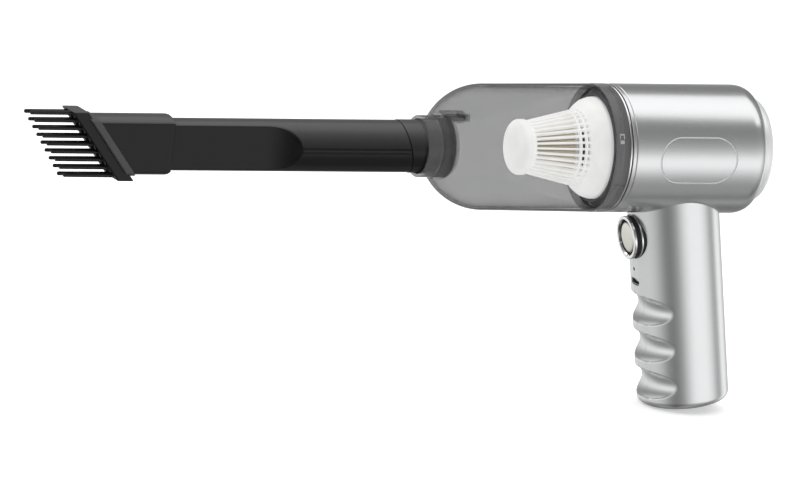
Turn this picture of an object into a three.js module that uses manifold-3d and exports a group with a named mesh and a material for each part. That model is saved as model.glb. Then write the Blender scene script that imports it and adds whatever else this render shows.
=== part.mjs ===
// Handheld vacuum with a see-through dust cup, a crevice nozzle and a comb brush.
// Millimetres. The body axis lies along X with the nozzle towards -X, and +Z is up.
// While modelling, X = 0 is where the axis of the grip crosses the body axis.
// The finished model is moved so that its origin is on the grip's axis, at the middle of the hand hold.

import * as THREE from 'three';
import { mergeVertices } from 'three/addons/utils/BufferGeometryUtils.js';
import Module from 'manifold-3d';

const wasm = await Module();
wasm.setup();

// ---------------------------------------------------------------- driving dimensions

const gap = 0.3;                    // clearance between any two pieces that touch
const seam = 0.2;                   // parting line between the housing halves

// Housing: a round motor body with a round grip below it
const bodyRadius = 34.4;
const bodyFrontLength = 35.6;       // from the grip's axis to the front edge
const bodyRearLength = 42.2;        // from the grip's axis to the rear edge
const bodyWall = 2.2;
const bodyEndRoundLength = 7.5;     // rounding of the rear edge, along the body
const bodyEndRoundDepth = 3.7;      // the same, towards the axis
const housingLip = 3.3;             // length of the lip at the front that holds the front frame
const housingLipDepth = 1.2;
const capLipLength = 5.5;           // length of the lip at the rear that holds the rear cap
const capSpigotInset = 2.3;         // from the foot of the rear rounding in to the cap's spigot

// Grip
const gripRake = THREE.MathUtils.degToRad(10);
const gripRadius = 24.6;
const gripLength = 139.4;           // from the body axis to the base, along the grip
const gripWall = 2.2;
const gripFrontWall = 7.7;
const boardBayDepth = 75;           // the bay for the boards ends here, above the finger grooves
const cellBayFront = 12;            // front of the bay for the cells, behind the finger grooves
const gripHollowTop = 18;           // depth at which the grip's hollow meets the body's
const gripBaseRounding = 4;
const gripHoldDepth = 105.5;        // middle of the hand hold, from the body axis
const fingerPitch = 20.5;
const fingerGrooveRadius = 9;
const fingerGrooveDepth = 4.8;
const fingerGrooveSweep = 43.8;     // radius of the arc that each groove follows
const fingerCount = 3;

// Engraved outline on both sides of the body
const capsuleCentre = 3.3;
const capsuleLength = 44.7;
const capsuleHeight = 24.5;
const capsuleLine = 0.9;
const capsuleDepth = 0.5;

// Rings between the body and the cup
const trimRingWidth = 4;
const trimInset = 0.2;              // how far the trim ring stands below the housing
const trimChamfer = 0.5;
const lockRingWidth = 8;
const lockTwist = THREE.MathUtils.degToRad(20);
const lockLugArc = THREE.MathUtils.degToRad(16);
const lockLugWidth = 1.6;
const lockLugHeight = 1.1;
const lockLugCount = 3;
const spigotWall = 2.5;
const frameFlange = 3;
const frameBackWall = 2;            // ledge and bars at the back of the front frame
const frameBackBore = 22;
const frameBarHalf = 0.8;
const frameShelf = 1.8;             // shelf that the filter's seal presses on
const frameShelfBore = 23.5;
const frameNose = 1.2;              // thickness of the frame's nose round the filter
const frameNoseLength = 4.3;
const lockChamfer = 0.6;
const lockFrontChamfer = 0.8;       // the same at the front edge, along the ring
const sealThickness = 0.9;
const sealEase = 0.4;               // between the cup's skirt and its seal

// Dust cup
const cupWall = 2;
const cupLength = 63.1;             // straight part, from the lock ring to the dome
const cupDraft = 0.6;               // how much smaller the cup is where the dome starts
const cupSkirt = 3.5;               // part of the cup inside the lock ring
const cupSkirtWall = 1.6;
const cupStep = 0.1;                // how far the cup stands below the lock ring
const skirtInset = 1.4;             // the same for its skirt
const snoutRadius = 16.5;
const snoutWall = 2;
const snoutReach = 38.3;            // from the start of the dome to the mouth
const snoutLength = 20.9;

// Inlet flap
const flapThickness = 1.1;
const flapPadThickness = 0.8;
const flapPinRadius = 0.8;
const flapPinHeight = 16.6;
const flapPinSetback = 4;           // from the snout's inner end to the pin
const flapKnuckleRadius = 2.1;
const flapTrim = 0.9;               // how much smaller the flap is than the snout
const flapEarThickness = 2;
const flapKnuckleWidth = 6;

// Filter
const filterFlangeRadius = 26.75;
const filterFlangeThickness = 2.4;
const filterSeatDepth = 5.3;        // from the lock ring's front to the shelf behind the filter
const filterSealThickness = 1.8;
const filterSealBore = 23.8;
const filterLength = 44;            // from the flange's front face to the front of the cap
const filterCapRadius = 14.9;
const filterCapLength = 13;
const filterNeckRadius = 12.6;
const filterShoulderRadius = 18.2;  // ribs, just ahead of the flange
const filterFlare = 6;              // length of the ribs' flare, up to the flange
const filterRibCount = 18;
const filterRibWidth = 1.7;
const filterRibDepth = 2.2;
const pleatCount = 24;
const pleatDepth = 3;
const pleatWall = 1;

// Nozzle and its cuff
const cuffInsert = 8.7;             // length of the cuff inside the snout
const cuffProud = 8.7;              // length that shows, on the axis
const cuffWall = 1.1;
const cuffSlant = THREE.MathUtils.degToRad(15);
const nozzleTube = 64;              // round part, from the cuff to the end of the scoop
const nozzleBlade = 94;             // from the end of the scoop to the tip
const nozzleWall = 2.2;
const nozzleStep = 0.25;            // how far the tube stands back from the cuff's surface
const nozzleSpigot = 12;            // length of the nozzle inside the cuff, on the axis
const tubeBoreEase = 0.4;
const bladeHalfThickness = 7.4;
const scoopRadius = 32;

// Brush
const sleeveOverlap = 23;
const sleeveWall = 2;
const headSlant = THREE.MathUtils.degToRad(41);
const headHeight = 39;
const headLength = 9.5;
const headThickness = 16;
const headReach = 23.5;             // from the blade's tip to the head's front face, on the axis
const mouthWidth = 5.2;
const mouthHeight = 27;
const tineCount = 9;
const tinePitch = 4.2;
const tineRadius = 0.9;
const tineReach = 26.5;             // from the head's front face to the middle tine's tip
const tineTipSlant = THREE.MathUtils.degToRad(34);
const combThickness = 1.6;
const combDepth = 3;

// Fan and motor
const fanCoverWall = 1.7;
const fanRadius = 24;
const fanBladeHeight = 8;
const fanBladeCount = 9;
const fanEyeRadius = 11.5;
const fanChamberLength = 10.4;
const diffuserThickness = 2;
const diffuserSlotCount = 12;
const motorRadius = 17.5;
const motorLength = 30;
const motorWall = 1.2;
const motorEndWall = 2.4;
const statorInnerRadius = 9.5;
const statorPoles = 6;
const coreLength = 18;
const shaftRadius = 1.6;
const bearingRadius = 4.6;
const bearingLength = 3;
const bracketWidth = 4;

// Rear cap
const capReach = 6.8;               // how far the cap stands out of the housing
const capRoundDepth = 3.2;
const capWall = 2.2;
const capFlange = 1.5;              // thickness of the flange that the housing holds
const capStraight = 0.6;            // straight part of the cap before its rounding
const portRadius = 17.5;
const portDepth = 8;
const portWall = 1.8;
const grilleThickness = 1.6;
const grilleSlotCount = 12;
const grilleSlotHalf = 1.3;         // half the width of a slot
const grilleHub = 5.5;              // plain middle of the grille
const grilleRim = 1.2;              // from the slots' ends to the port's wall
const foamThickness = 4.2;

// Push button, on the front of the grip
const buttonDepth = 45;             // from the body axis, along the grip
const buttonProud = 3.9;            // bezel's face, ahead of the grip's front
const bezelRadius = 11.75;
const bezelWall = 2.4;
const bezelFlange = 1.5;
const buttonCapRadius = 8.2;
const buttonCapLength = 8;
const buttonTravel = 1.2;
const stemRadius = 2.2;
const springRadius = 4.2;
const springWire = 0.6;
const springTurns = 3;
const switchSize = 12;
const switchDepth = 6.4;
const plungerRadius = 2.6;
const boardThickness = 1.6;

// Light and charging socket, below the button
const lightDepth = 63;
const lightRadius = 0.8;
const socketDepth = 70;
const socketWidth = 9;
const socketHeight = 3.3;
const socketLength = 10.5;
const socketShell = 0.4;

// Cells
const cellRadius = 9.15;
const cellLength = 61;
const cellSetback = 6;              // cells' axes, behind the grip's axis
const cradleWall = 1;

// Case screws
const screwRadius = 1.4;
const screwHeadRadius = 2.7;
const screwHeadHeight = 2;
const screwLength = 15;
const postRadius = 3.2;
const postClearance = 3.2;          // from a post to the body's bore
const postInset = 4;                // posts stop this far inside the body's skin
const screwSeat = 8;                // screw heads rest this far to the right of the parting line
const crossRecess = 0.9;            // depth of the screwdriver recess
const crossReach = 1.6;
const crossHalfWidth = 0.35;

// Sides that stand for a circle, on large, middling and small pieces
const largeSides = 36;
const middlingSides = 24;
const smallSides = 16;
const tinySides = 8;

// ---------------------------------------------------------------- places worked out from them

const housingFront = -bodyFrontLength;
const housingRear = bodyRearLength;
const bodyBore = bodyRadius - bodyWall;
const lipBore = bodyBore - housingLipDepth;
const capSpigotRadius = bodyRadius - bodyEndRoundDepth - capSpigotInset;
const spigotRadius = lipBore - gap;
const spigotBore = spigotRadius - spigotWall;
const trimFront = housingFront - trimRingWidth;
const lockFront = trimFront - lockRingWidth;
const cupRear = lockFront - gap;
const domeStart = cupRear - cupLength;
const domeRadius = bodyRadius - cupStep - cupDraft;
const snoutMouth = domeStart - snoutReach;
const snoutInner = snoutMouth + snoutLength;
const snoutBore = snoutRadius - snoutWall;
const frameRear = housingFront + housingLip + gap + frameFlange;
const cupRearRadius = bodyRadius - cupStep;
const skirtRadius = bodyRadius - skirtInset;
const skirtBore = skirtRadius - cupSkirtWall;
const flangeSeat = lockFront + filterSeatDepth;
const flangeFront = flangeSeat - gap - filterSealThickness - gap - filterFlangeThickness;
const filterFront = flangeFront - filterLength;
const spigotNose = flangeSeat - frameNoseLength;
const gripBore = gripRadius - gripWall;
const gripFrontPlane = -(gripRadius - gripFrontWall);
const gripMatrix = new THREE.Matrix4().makeRotationY(-gripRake);

// ---------------------------------------------------------------- materials

function finish(colour, roughness, metalness, opacity = 1) {
  return new THREE.MeshStandardMaterial({
    color: colour,
    roughness,
    metalness,
    opacity,
    transparent: opacity < 1,
  });
}

const silverPaint = finish(0xb9bbbe, 0.3, 0.7);
const paleSilver = finish(0xdcdddf, 0.35, 0.4);
const brightMetal = finish(0xd8dadc, 0.12, 1);
const steel = finish(0x9a9da0, 0.35, 1);
const smokyPlastic = finish(0x8f9092, 0.1, 0, 0.45);
const darkClearPlastic = finish(0x4a4b4d, 0.15, 0, 0.7);
const blackPlastic = finish(0x1c1c1d, 0.4, 0);
const greyPlastic = finish(0x4b4d50, 0.5, 0);
const whitePlastic = finish(0xf2f2f0, 0.45, 0);
const pleatPaper = finish(0xd9cdb8, 0.9, 0);
const blackRubber = finish(0x121212, 0.8, 0);
const foam = finish(0x2a2b2c, 0.95, 0);
const copper = finish(0xb46a3c, 0.4, 0.9);
const boardGreen = finish(0x1f5a3a, 0.6, 0);
const cellWrap = finish(0x2f6fb0, 0.45, 0);

// ---------------------------------------------------------------- building helpers

// A closed geometry as a solid. Its faces are turned outwards if they came out inwards.
function solid(geometry, matrix) {
  const bare = geometry.index ? geometry.toNonIndexed() : geometry.clone();
  for (const name of Object.keys(bare.attributes)) {
    if (name !== 'position') {
      bare.deleteAttribute(name);
    }
  }
  if (matrix) {
    bare.applyMatrix4(matrix);
  }
  const merged = mergeVertices(bare, 1e-4);
  const positions = merged.attributes.position;
  const triangles = [];
  let volume = 0;
  const a = new THREE.Vector3();
  const b = new THREE.Vector3();
  const c = new THREE.Vector3();
  for (let i = 0; i < merged.index.count; i += 3) {
    const [i0, i1, i2] = [0, 1, 2].map((k) => merged.index.getX(i + k));
    if (i0 === i1 || i1 === i2 || i2 === i0) {
      continue;
    }
    a.fromBufferAttribute(positions, i0);
    b.fromBufferAttribute(positions, i1);
    c.fromBufferAttribute(positions, i2);
    volume += a.dot(b.cross(c));
    triangles.push([i0, i1, i2]);
  }
  const ordered = volume < 0 ? triangles.map(([p, q, r]) => [p, r, q]) : triangles;
  return new wasm.Manifold(new wasm.Mesh({
    numProp: 3,
    vertProperties: new Float32Array(positions.array),
    triVerts: new Uint32Array(ordered.flat()),
  }));
}

function join(first, ...others) {
  return others.reduce((whole, piece) => whole.add(piece), first);
}

function cut(first, ...others) {
  return others.reduce((whole, piece) => whole.subtract(piece), first);
}

function meet(first, ...others) {
  return others.reduce((whole, piece) => whole.intersect(piece), first);
}

// A solid turned about the X axis from points (x, radius) given in order round the section.
const turnToX = new THREE.Matrix4().makeRotationZ(-Math.PI / 2);

function turned(points, segments = middlingSides) {
  const onAxis = points[0][1] === 0;
  const closed = onAxis ? points : [...points, points[0]];
  const profile = closed.map(([x, radius]) => new THREE.Vector2(radius, x));
  return solid(new THREE.LatheGeometry(profile, segments), turnToX);
}

function ring(x0, x1, outer, inner, segments = middlingSides) {
  return turned([[x0, inner], [x0, outer], [x1, outer], [x1, inner]], segments);
}

function disc(x0, x1, radius, segments = middlingSides) {
  return turned([[x0, 0], [x0, radius], [x1, radius], [x1, 0]], segments);
}

// Points on an arc from one angle to another, as (x, radius) pairs.
function arc(cx, cr, rx, rr, from, to, steps) {
  const points = [];
  for (let i = 0; i <= steps; i += 1) {
    const angle = from + ((to - from) * i) / steps;
    points.push([cx + rx * Math.cos(angle), cr + rr * Math.sin(angle)]);
  }
  return points;
}

function box(x0, x1, y0, y1, z0, z1) {
  const geometry = new THREE.BoxGeometry(x1 - x0, y1 - y0, z1 - z0);
  return solid(geometry, new THREE.Matrix4().makeTranslation((x0 + x1) / 2, (y0 + y1) / 2, (z0 + z1) / 2));
}

// A rod along Y, from y0 to y1.
function rodY(x, z, y0, y1, radius, segments = tinySides) {
  const geometry = new THREE.CylinderGeometry(radius, radius, y1 - y0, segments);
  return solid(geometry, new THREE.Matrix4().makeTranslation(x, (y0 + y1) / 2, z));
}

// An outline in the XZ plane, made solid from y0 to y1.
function slabY(outline, y0, y1) {
  const shape = new THREE.Shape(outline.map(([x, z]) => new THREE.Vector2(x, z)));
  const geometry = new THREE.ExtrudeGeometry(shape, { depth: y1 - y0, bevelEnabled: false });
  geometry.rotateX(Math.PI / 2);
  return solid(geometry, new THREE.Matrix4().makeTranslation(0, y1, 0));
}

// An outline in the XY plane, made solid from z0 to z1.
function slabZ(outline, z0, z1) {
  const shape = new THREE.Shape(outline.map(([x, y]) => new THREE.Vector2(x, y)));
  const geometry = new THREE.ExtrudeGeometry(shape, { depth: z1 - z0, bevelEnabled: false });
  return solid(geometry, new THREE.Matrix4().makeTranslation(0, 0, z0));
}

// A solid made around the X axis, turned about it by an angle.
function spun(angle, geometry, matrix = new THREE.Matrix4()) {
  return solid(geometry, new THREE.Matrix4().makeRotationX(angle).multiply(matrix));
}

function spunBox(angle, x0, x1, y0, y1, z0, z1) {
  const place = new THREE.Matrix4().makeTranslation((x0 + x1) / 2, (y0 + y1) / 2, (z0 + z1) / 2);
  return spun(angle, new THREE.BoxGeometry(x1 - x0, y1 - y0, z1 - z0), place);
}

const model = new THREE.Group();
const onBody = new THREE.Group();
onBody.position.set(-gripHoldDepth * Math.sin(gripRake), 0, gripHoldDepth * Math.cos(gripRake));
model.add(onBody);

// In this group, x runs backwards across the grip and -z runs down it.
const onGrip = new THREE.Group();
onGrip.rotation.y = -gripRake;
onBody.add(onGrip);

function place(name, shape, material, parent = onBody) {
  const { vertProperties, triVerts, numProp } = shape.getMesh();
  const positions = new Float32Array((vertProperties.length / numProp) * 3);
  for (let i = 0; i < positions.length / 3; i += 1) {
    positions.set(vertProperties.subarray(i * numProp, i * numProp + 3), i * 3);
  }
  const geometry = new THREE.BufferGeometry();
  geometry.setAttribute('position', new THREE.BufferAttribute(positions, 3));
  geometry.setIndex(new THREE.BufferAttribute(new Uint32Array(triVerts), 1));
  geometry.computeVertexNormals();
  const mesh = new THREE.Mesh(geometry, material);
  mesh.name = name;
  parent.add(mesh);
  return mesh;
}

// ---------------------------------------------------------------- housing

// Shapes in the grip's own directions, moved into the body's.
function gripRod(x, y, z0, z1, radius, segments = middlingSides) {
  const geometry = new THREE.CylinderGeometry(radius, radius, z1 - z0, segments);
  geometry.rotateX(Math.PI / 2);
  const local = new THREE.Matrix4().makeTranslation(x, y, (z0 + z1) / 2);
  return solid(geometry, gripMatrix.clone().multiply(local));
}

function gripBox(x0, x1, y0, y1, z0, z1) {
  const geometry = new THREE.BoxGeometry(x1 - x0, y1 - y0, z1 - z0);
  const local = new THREE.Matrix4().makeTranslation((x0 + x1) / 2, (y0 + y1) / 2, (z0 + z1) / 2);
  return solid(geometry, gripMatrix.clone().multiply(local));
}

// A rod that runs across the grip from front to back, at a depth below the body axis.
function gripCrossRod(depth, x0, x1, radius, segments = middlingSides) {
  const geometry = new THREE.CylinderGeometry(radius, radius, x1 - x0, segments);
  geometry.rotateZ(Math.PI / 2);
  const local = new THREE.Matrix4().makeTranslation((x0 + x1) / 2, 0, -depth);
  return solid(geometry, gripMatrix.clone().multiply(local));
}

function bodyOutside() {
  return turned([
    [housingFront, 0],
    [housingFront, bodyRadius],
    ...arc(housingRear - bodyEndRoundLength, bodyRadius - bodyEndRoundDepth,
      bodyEndRoundLength, bodyEndRoundDepth, Math.PI / 2, 0, 3),
    [housingRear, 0],
  ], largeSides);
}

function gripOutside() {
  const profile = [[0, 0], [0, gripRadius]];
  profile.push(...arc(gripLength - gripBaseRounding, gripRadius - gripBaseRounding,
    gripBaseRounding, gripBaseRounding, Math.PI / 2, 0, 3));
  profile.push([gripLength, 0]);
  const points = profile.map(([depth, radius]) => new THREE.Vector2(radius, -depth));
  const lathe = new THREE.LatheGeometry(points, largeSides);
  lathe.rotateX(Math.PI / 2);
  return solid(lathe, gripMatrix);
}

function fingerGroove(index) {
  const depth = gripHoldDepth + (index - (fingerCount - 1) / 2) * fingerPitch;
  const setback = fingerGrooveSweep - fingerGrooveRadius - (gripRadius - fingerGrooveDepth);
  const torus = new THREE.TorusGeometry(fingerGrooveSweep, fingerGrooveRadius, 14, 45);
  const local = new THREE.Matrix4().makeTranslation(setback, 0, -depth);
  return solid(torus, gripMatrix.clone().multiply(local));
}

function capsuleOutline(length, height) {
  const radius = height / 2;
  const middle = length / 2 - radius;
  return [
    ...arc(capsuleCentre + middle, 0, radius, radius, -Math.PI / 2, Math.PI / 2, 6),
    ...arc(capsuleCentre - middle, 0, radius, radius, Math.PI / 2, (3 * Math.PI) / 2, 6),
  ];
}

function capsuleLineCut() {
  const outer = slabY(capsuleOutline(capsuleLength, capsuleHeight), -bodyRadius - 1, bodyRadius + 1);
  const inner = slabY(
    capsuleOutline(capsuleLength - 2 * capsuleLine, capsuleHeight - 2 * capsuleLine),
    -bodyRadius - 2,
    bodyRadius + 2,
  );
  return cut(outer, inner, disc(housingFront - 1, housingRear + 1, bodyRadius - capsuleDepth, largeSides));
}

// Places of the case screws: across the body, and across the grip.
const postHeight = bodyBore - postRadius - postClearance;
const screwPlaces = [
  new THREE.Vector3(4, 0, postHeight),
  new THREE.Vector3(25, 0, postHeight),
  new THREE.Vector3(14, 0, -62).applyMatrix4(gripMatrix),
  new THREE.Vector3(-10.5, 0, -(gripHoldDepth - fingerPitch / 2)).applyMatrix4(gripMatrix),
  new THREE.Vector3(-10.5, 0, -(gripHoldDepth + fingerPitch / 2)).applyMatrix4(gripMatrix),
];
function housingOutside() {
  const grooves = Array.from({ length: fingerCount }, (_, i) => fingerGroove(i));
  const postReach = bodyRadius - postInset;
  const posts = screwPlaces.map((spot) => rodY(spot.x, spot.z, -postReach, postReach, postRadius));
  const grip = cut(gripOutside(), ...grooves);
  return { skin: join(bodyOutside(), grip), posts };
}

function housingHollow() {
  const rearBore = housingRear - capLipLength;
  const bore = disc(housingFront + housingLip, rearBore, bodyBore, middlingSides);
  const boardBay = meet(
    gripRod(0, 0, -boardBayDepth, -gripHollowTop, gripBore, middlingSides),
    gripBox(gripFrontPlane, gripBore + 1, -gripRadius, gripRadius, -gripLength, 0),
  );
  const cellBay = meet(
    gripRod(0, 0, -(gripLength - gripWall), -gripHollowTop, gripBore, middlingSides),
    gripBox(-cellBayFront, gripBore + 1, -gripRadius, gripRadius, -gripLength, 0),
  );
  return join(
    bore,
    disc(housingFront - 1, housingFront + housingLip + 1, lipBore, middlingSides),
    disc(rearBore - 1, housingRear + 1, capSpigotRadius + gap, middlingSides),
    boardBay,
    cellBay,
  );
}

function housingHoles() {
  const bezelFront = -(gripRadius + buttonProud);
  return [
    gripCrossRod(buttonDepth, bezelFront - 2, gripFrontPlane + 1, bezelRadius + gap),
    gripCrossRod(lightDepth, -gripRadius - 2, gripFrontPlane + 1, lightRadius + gap, tinySides),
    gripBox(
      -gripRadius - 2,
      gripFrontPlane + 1,
      -socketWidth / 2 - gap,
      socketWidth / 2 + gap,
      -socketDepth - socketHeight / 2 - gap,
      -socketDepth + socketHeight / 2 + gap,
    ),
    capsuleLineCut(),
  ];
}

function housingHalves() {
  const { skin, posts } = housingOutside();
  const shell = cut(skin, housingHollow());
  const whole = cut(join(shell, ...posts.map((post) => meet(post, skin))), ...housingHoles());
  const reach = bodyFrontLength + bodyRearLength + gripLength;
  const left = cut(
    meet(whole, box(-reach, reach, -reach, -seam / 2, -reach, reach)),
    ...screwPlaces.map((spot) => rodY(spot.x, spot.z, screwSeat - 1 - screwLength, reach,
      screwRadius + gap)),
  );
  const right = cut(
    meet(whole, box(-reach, reach, seam / 2, reach, -reach, reach)),
    ...screwPlaces.map((spot) => rodY(spot.x, spot.z, -1, reach, screwRadius + gap)),
    ...screwPlaces.map((spot) => rodY(spot.x, spot.z, screwSeat, reach, screwHeadRadius + gap, tinySides)),
  );
  place('housing_left', left, silverPaint);
  place('housing_right', right, silverPaint);
}

function caseScrews() {
  screwPlaces.forEach((spot, index) => {
    const head = rodY(spot.x, spot.z, screwSeat + gap, screwSeat + gap + screwHeadHeight, screwHeadRadius);
    const shank = rodY(spot.x, spot.z, screwSeat + 1 - screwLength, screwSeat + 1, screwRadius);
    const slot = screwSeat + gap + screwHeadHeight;
    const cross = [
      box(spot.x - crossReach, spot.x + crossReach, slot - crossRecess, slot + 1,
        spot.z - crossHalfWidth, spot.z + crossHalfWidth),
      box(spot.x - crossHalfWidth, spot.x + crossHalfWidth, slot - crossRecess, slot + 1,
        spot.z - crossReach, spot.z + crossReach),
    ];
    place(`case_screw_${index + 1}`, cut(join(head, shank), ...cross), steel);
  });
}

function rearCap() {
  const flangeBack = housingRear - capLipLength - gap;
  const flangeFront = flangeBack - capFlange;
  const capRear = housingRear + capReach;
  const outer = capSpigotRadius;
  const portOutside = portRadius + portWall;
  const round = arc(housingRear + capStraight, outer - capRoundDepth, capReach - capStraight, capRoundDepth,
    Math.PI / 2, 0, 4);
  const grilleRear = capRear - portDepth;
  const grilleFront = grilleRear - grilleThickness;
  const shell = turned([
    [grilleFront, 0],
    [grilleFront, portOutside],
    [capRear - capWall, portOutside],
    [capRear - capWall, outer - capRoundDepth - 1],
    [housingRear, outer - capWall],
    [flangeFront, outer - capWall],
    [flangeFront, bodyBore - gap],
    [flangeBack, bodyBore - gap],
    [flangeBack, outer],
    ...round,
    [capRear, portRadius],
    [grilleRear, portRadius],
    [grilleRear, 0],
  ], middlingSides);
  const slots = [];
  for (let i = 0; i < grilleSlotCount; i += 1) {
    const angle = (2 * Math.PI * i) / grilleSlotCount;
    slots.push(spunBox(angle, grilleFront - 1, grilleRear + 1, -grilleSlotHalf, grilleSlotHalf,
      grilleHub, portRadius - grilleRim));
  }
  place('rear_cap', cut(shell, ...slots), paleSilver);
  const foamRear = grilleFront - gap;
  place('exhaust_foam', disc(foamRear - foamThickness, foamRear, outer - capWall - gap, middlingSides), foam);
}

function trimRing() {
  const front = trimFront + gap / 2;
  const rear = housingFront - gap / 2;
  const outer = bodyRadius - trimInset;
  place('trim_ring', turned([
    [front, spigotRadius + gap],
    [front, outer - trimChamfer],
    [front + trimChamfer, outer],
    [rear - trimChamfer, outer],
    [rear, outer - trimChamfer],
    [rear, spigotRadius + gap],
  ], largeSides), brightMetal);
}

// ---------------------------------------------------------------- lock ring and front frame

const lugCentre = trimFront - lockLugWidth;
const lugAngles = Array.from({ length: lockLugCount }, (_, i) => (2 * Math.PI * i) / lockLugCount);

// A block that spans an arc round the X axis, from one radius to another.
function arcBlock(x0, x1, inner, outer, from, to) {
  const shape = new THREE.Shape();
  shape.absarc(0, 0, outer, from, to, false);
  shape.absarc(0, 0, inner, to, from, true);
  const geometry = new THREE.ExtrudeGeometry(shape, {
    depth: x1 - x0,
    bevelEnabled: false,
    curveSegments: 3,
  });
  const toX = new THREE.Matrix4().makeBasis(
    new THREE.Vector3(0, 1, 0),
    new THREE.Vector3(0, 0, 1),
    new THREE.Vector3(1, 0, 0),
  );
  return solid(geometry, new THREE.Matrix4().makeTranslation(x0, 0, 0).multiply(toX));
}

function lockRing() {
  const rear = trimFront - gap / 2;
  const socketFloor = cupRear + cupSkirt + sealEase + sealThickness + gap;
  const body = turned([
    [lockFront, skirtRadius + gap],
    [lockFront, bodyRadius - lockChamfer],
    [lockFront + lockFrontChamfer, bodyRadius],
    [rear - lockChamfer, bodyRadius],
    [rear, bodyRadius - lockChamfer],
    [rear, spigotRadius + gap],
    [socketFloor, spigotRadius + gap],
    [socketFloor, skirtRadius + gap],
  ], largeSides);
  const lugs = lugAngles.map((angle) => arcBlock(
    lugCentre - lockLugWidth / 2,
    lugCentre + lockLugWidth / 2,
    spigotRadius + gap - lockLugHeight,
    spigotRadius + 1.2,
    angle - lockLugArc / 2,
    angle + lockLugArc / 2,
  ));
  place('lock_ring', join(body, ...lugs), darkClearPlastic);
  const sealRear = socketFloor - gap;
  place('cup_seal', ring(sealRear - sealThickness, sealRear, skirtRadius, skirtBore), blackRubber);
}

function frontFrame() {
  const frameFront = frameRear - frameFlange;
  const noseBore = filterFlangeRadius + gap;
  const body = turned([
    [frameRear, frameBackBore],
    [frameRear, bodyBore - gap],
    [frameFront, bodyBore - gap],
    [frameFront, spigotRadius],
    [flangeSeat - frameNose, spigotRadius],
    [spigotNose, noseBore + frameNose],
    [spigotNose, noseBore],
    [flangeSeat, noseBore],
    [flangeSeat, frameShelfBore],
    [flangeSeat + frameShelf, frameShelfBore],
    [flangeSeat + frameShelf, spigotBore],
    [frameRear - frameBackWall, spigotBore],
    [frameRear - frameBackWall, frameBackBore],
  ], middlingSides);
  const slack = gap / spigotRadius;
  const slots = lugAngles.flatMap((angle) => {
    const from = angle - lockLugArc / 2 - slack;
    const to = angle + lockLugArc / 2 + lockTwist + slack;
    const depth = spigotRadius - lockLugHeight;
    return [
      arcBlock(lugCentre - lockLugWidth / 2 - gap, lugCentre + lockLugWidth / 2 + gap,
        depth, spigotRadius + 1, from, to),
      arcBlock(spigotNose - 1, lugCentre, depth, spigotRadius + 1, to - lockLugArc - 2 * slack, to),
    ];
  });
  const barReach = frameBackBore + 0.5;
  const bars = [0, 1, 2].map((i) => spunBox((Math.PI * i) / 3, frameRear - frameBackWall, frameRear,
    -frameBarHalf, frameBarHalf, -barReach, barReach));
  place('front_frame', join(cut(body, ...slots), ...bars), greyPlastic);
}

// ---------------------------------------------------------------- dust cup and inlet flap

const flapPinX = snoutInner + flapPinSetback;

function dustCup() {
  const snoutAngle = Math.asin(snoutRadius / domeRadius);
  const innerDome = domeRadius - cupWall;
  const innerAngle = Math.asin(snoutRadius / innerDome);
  const mouthRound = 0.6;
  const body = turned([
    [snoutMouth, snoutBore],
    [snoutMouth, snoutRadius - mouthRound],
    [snoutMouth + mouthRound, snoutRadius],
    ...arc(domeStart, 0, domeRadius, domeRadius, Math.PI - snoutAngle, Math.PI / 2, 6),
    [cupRear, cupRearRadius],
    [cupRear, skirtRadius],
    [cupRear + cupSkirt, skirtRadius],
    [cupRear + cupSkirt, skirtBore],
    [cupRear - 1.5, skirtBore],
    [cupRear - 3, cupRearRadius - cupWall],
    ...arc(domeStart, 0, innerDome, innerDome, Math.PI / 2, Math.PI - innerAngle, 4),
    [snoutInner, snoutRadius],
    [snoutInner, snoutBore],
  ], largeSides);
  const earInner = flapKnuckleWidth / 2 + gap;
  const ears = [-1, 1].map((side) => {
    const near = side * earInner;
    const far = side * (earInner + flapEarThickness);
    return box(snoutInner - 2.6, snoutInner + 6.2, Math.min(near, far), Math.max(near, far),
      flapPinHeight - 2.2, flapPinHeight + 1.9);
  });
  const pinHole = rodY(flapPinX, flapPinHeight, -earInner - 5, earInner + 5, flapPinRadius + gap);
  place('dust_cup', cut(join(body, ...ears), pinHole), smokyPlastic);
}

function inletFlap() {
  const padFront = snoutInner + gap;
  const plateFront = padFront + flapPadThickness + gap;
  const plateRear = plateFront + flapThickness;
  const radius = snoutRadius - flapTrim;
  const trimTop = box(plateFront - 4, plateRear + 4, -radius, radius, flapPinHeight - 2.2 - gap, radius + 2);
  const plate = cut(disc(plateFront, plateRear, radius), trimTop);
  const arm = box(plateFront, flapPinX, -flapKnuckleWidth / 2, flapKnuckleWidth / 2,
    flapPinHeight - 3.4, flapPinHeight - 0.6);
  const knuckle = rodY(flapPinX, flapPinHeight, -flapKnuckleWidth / 2, flapKnuckleWidth / 2,
    flapKnuckleRadius);
  const bore = rodY(flapPinX, flapPinHeight, -flapKnuckleWidth, flapKnuckleWidth, flapPinRadius + gap);
  place('inlet_flap', cut(join(plate, arm, knuckle), bore), darkClearPlastic);
  place('flap_pad', cut(disc(padFront, padFront + flapPadThickness, radius - 0.3), trimTop), blackRubber);
  const pinHalf = flapKnuckleWidth / 2 + gap + flapEarThickness + 0.4;
  place('flap_pin', rodY(flapPinX, flapPinHeight, -pinHalf, pinHalf, flapPinRadius), steel);
}

// ---------------------------------------------------------------- filter

const ribFoot = flangeFront - filterFlare;
const neckRear = filterFront + filterCapLength;

// Radius of the ribs' outside at a place along the filter.
function ribRadius(x) {
  const t = (x - neckRear) / (ribFoot - neckRear);
  return filterNeckRadius + (filterShoulderRadius - filterNeckRadius) * t;
}

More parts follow.
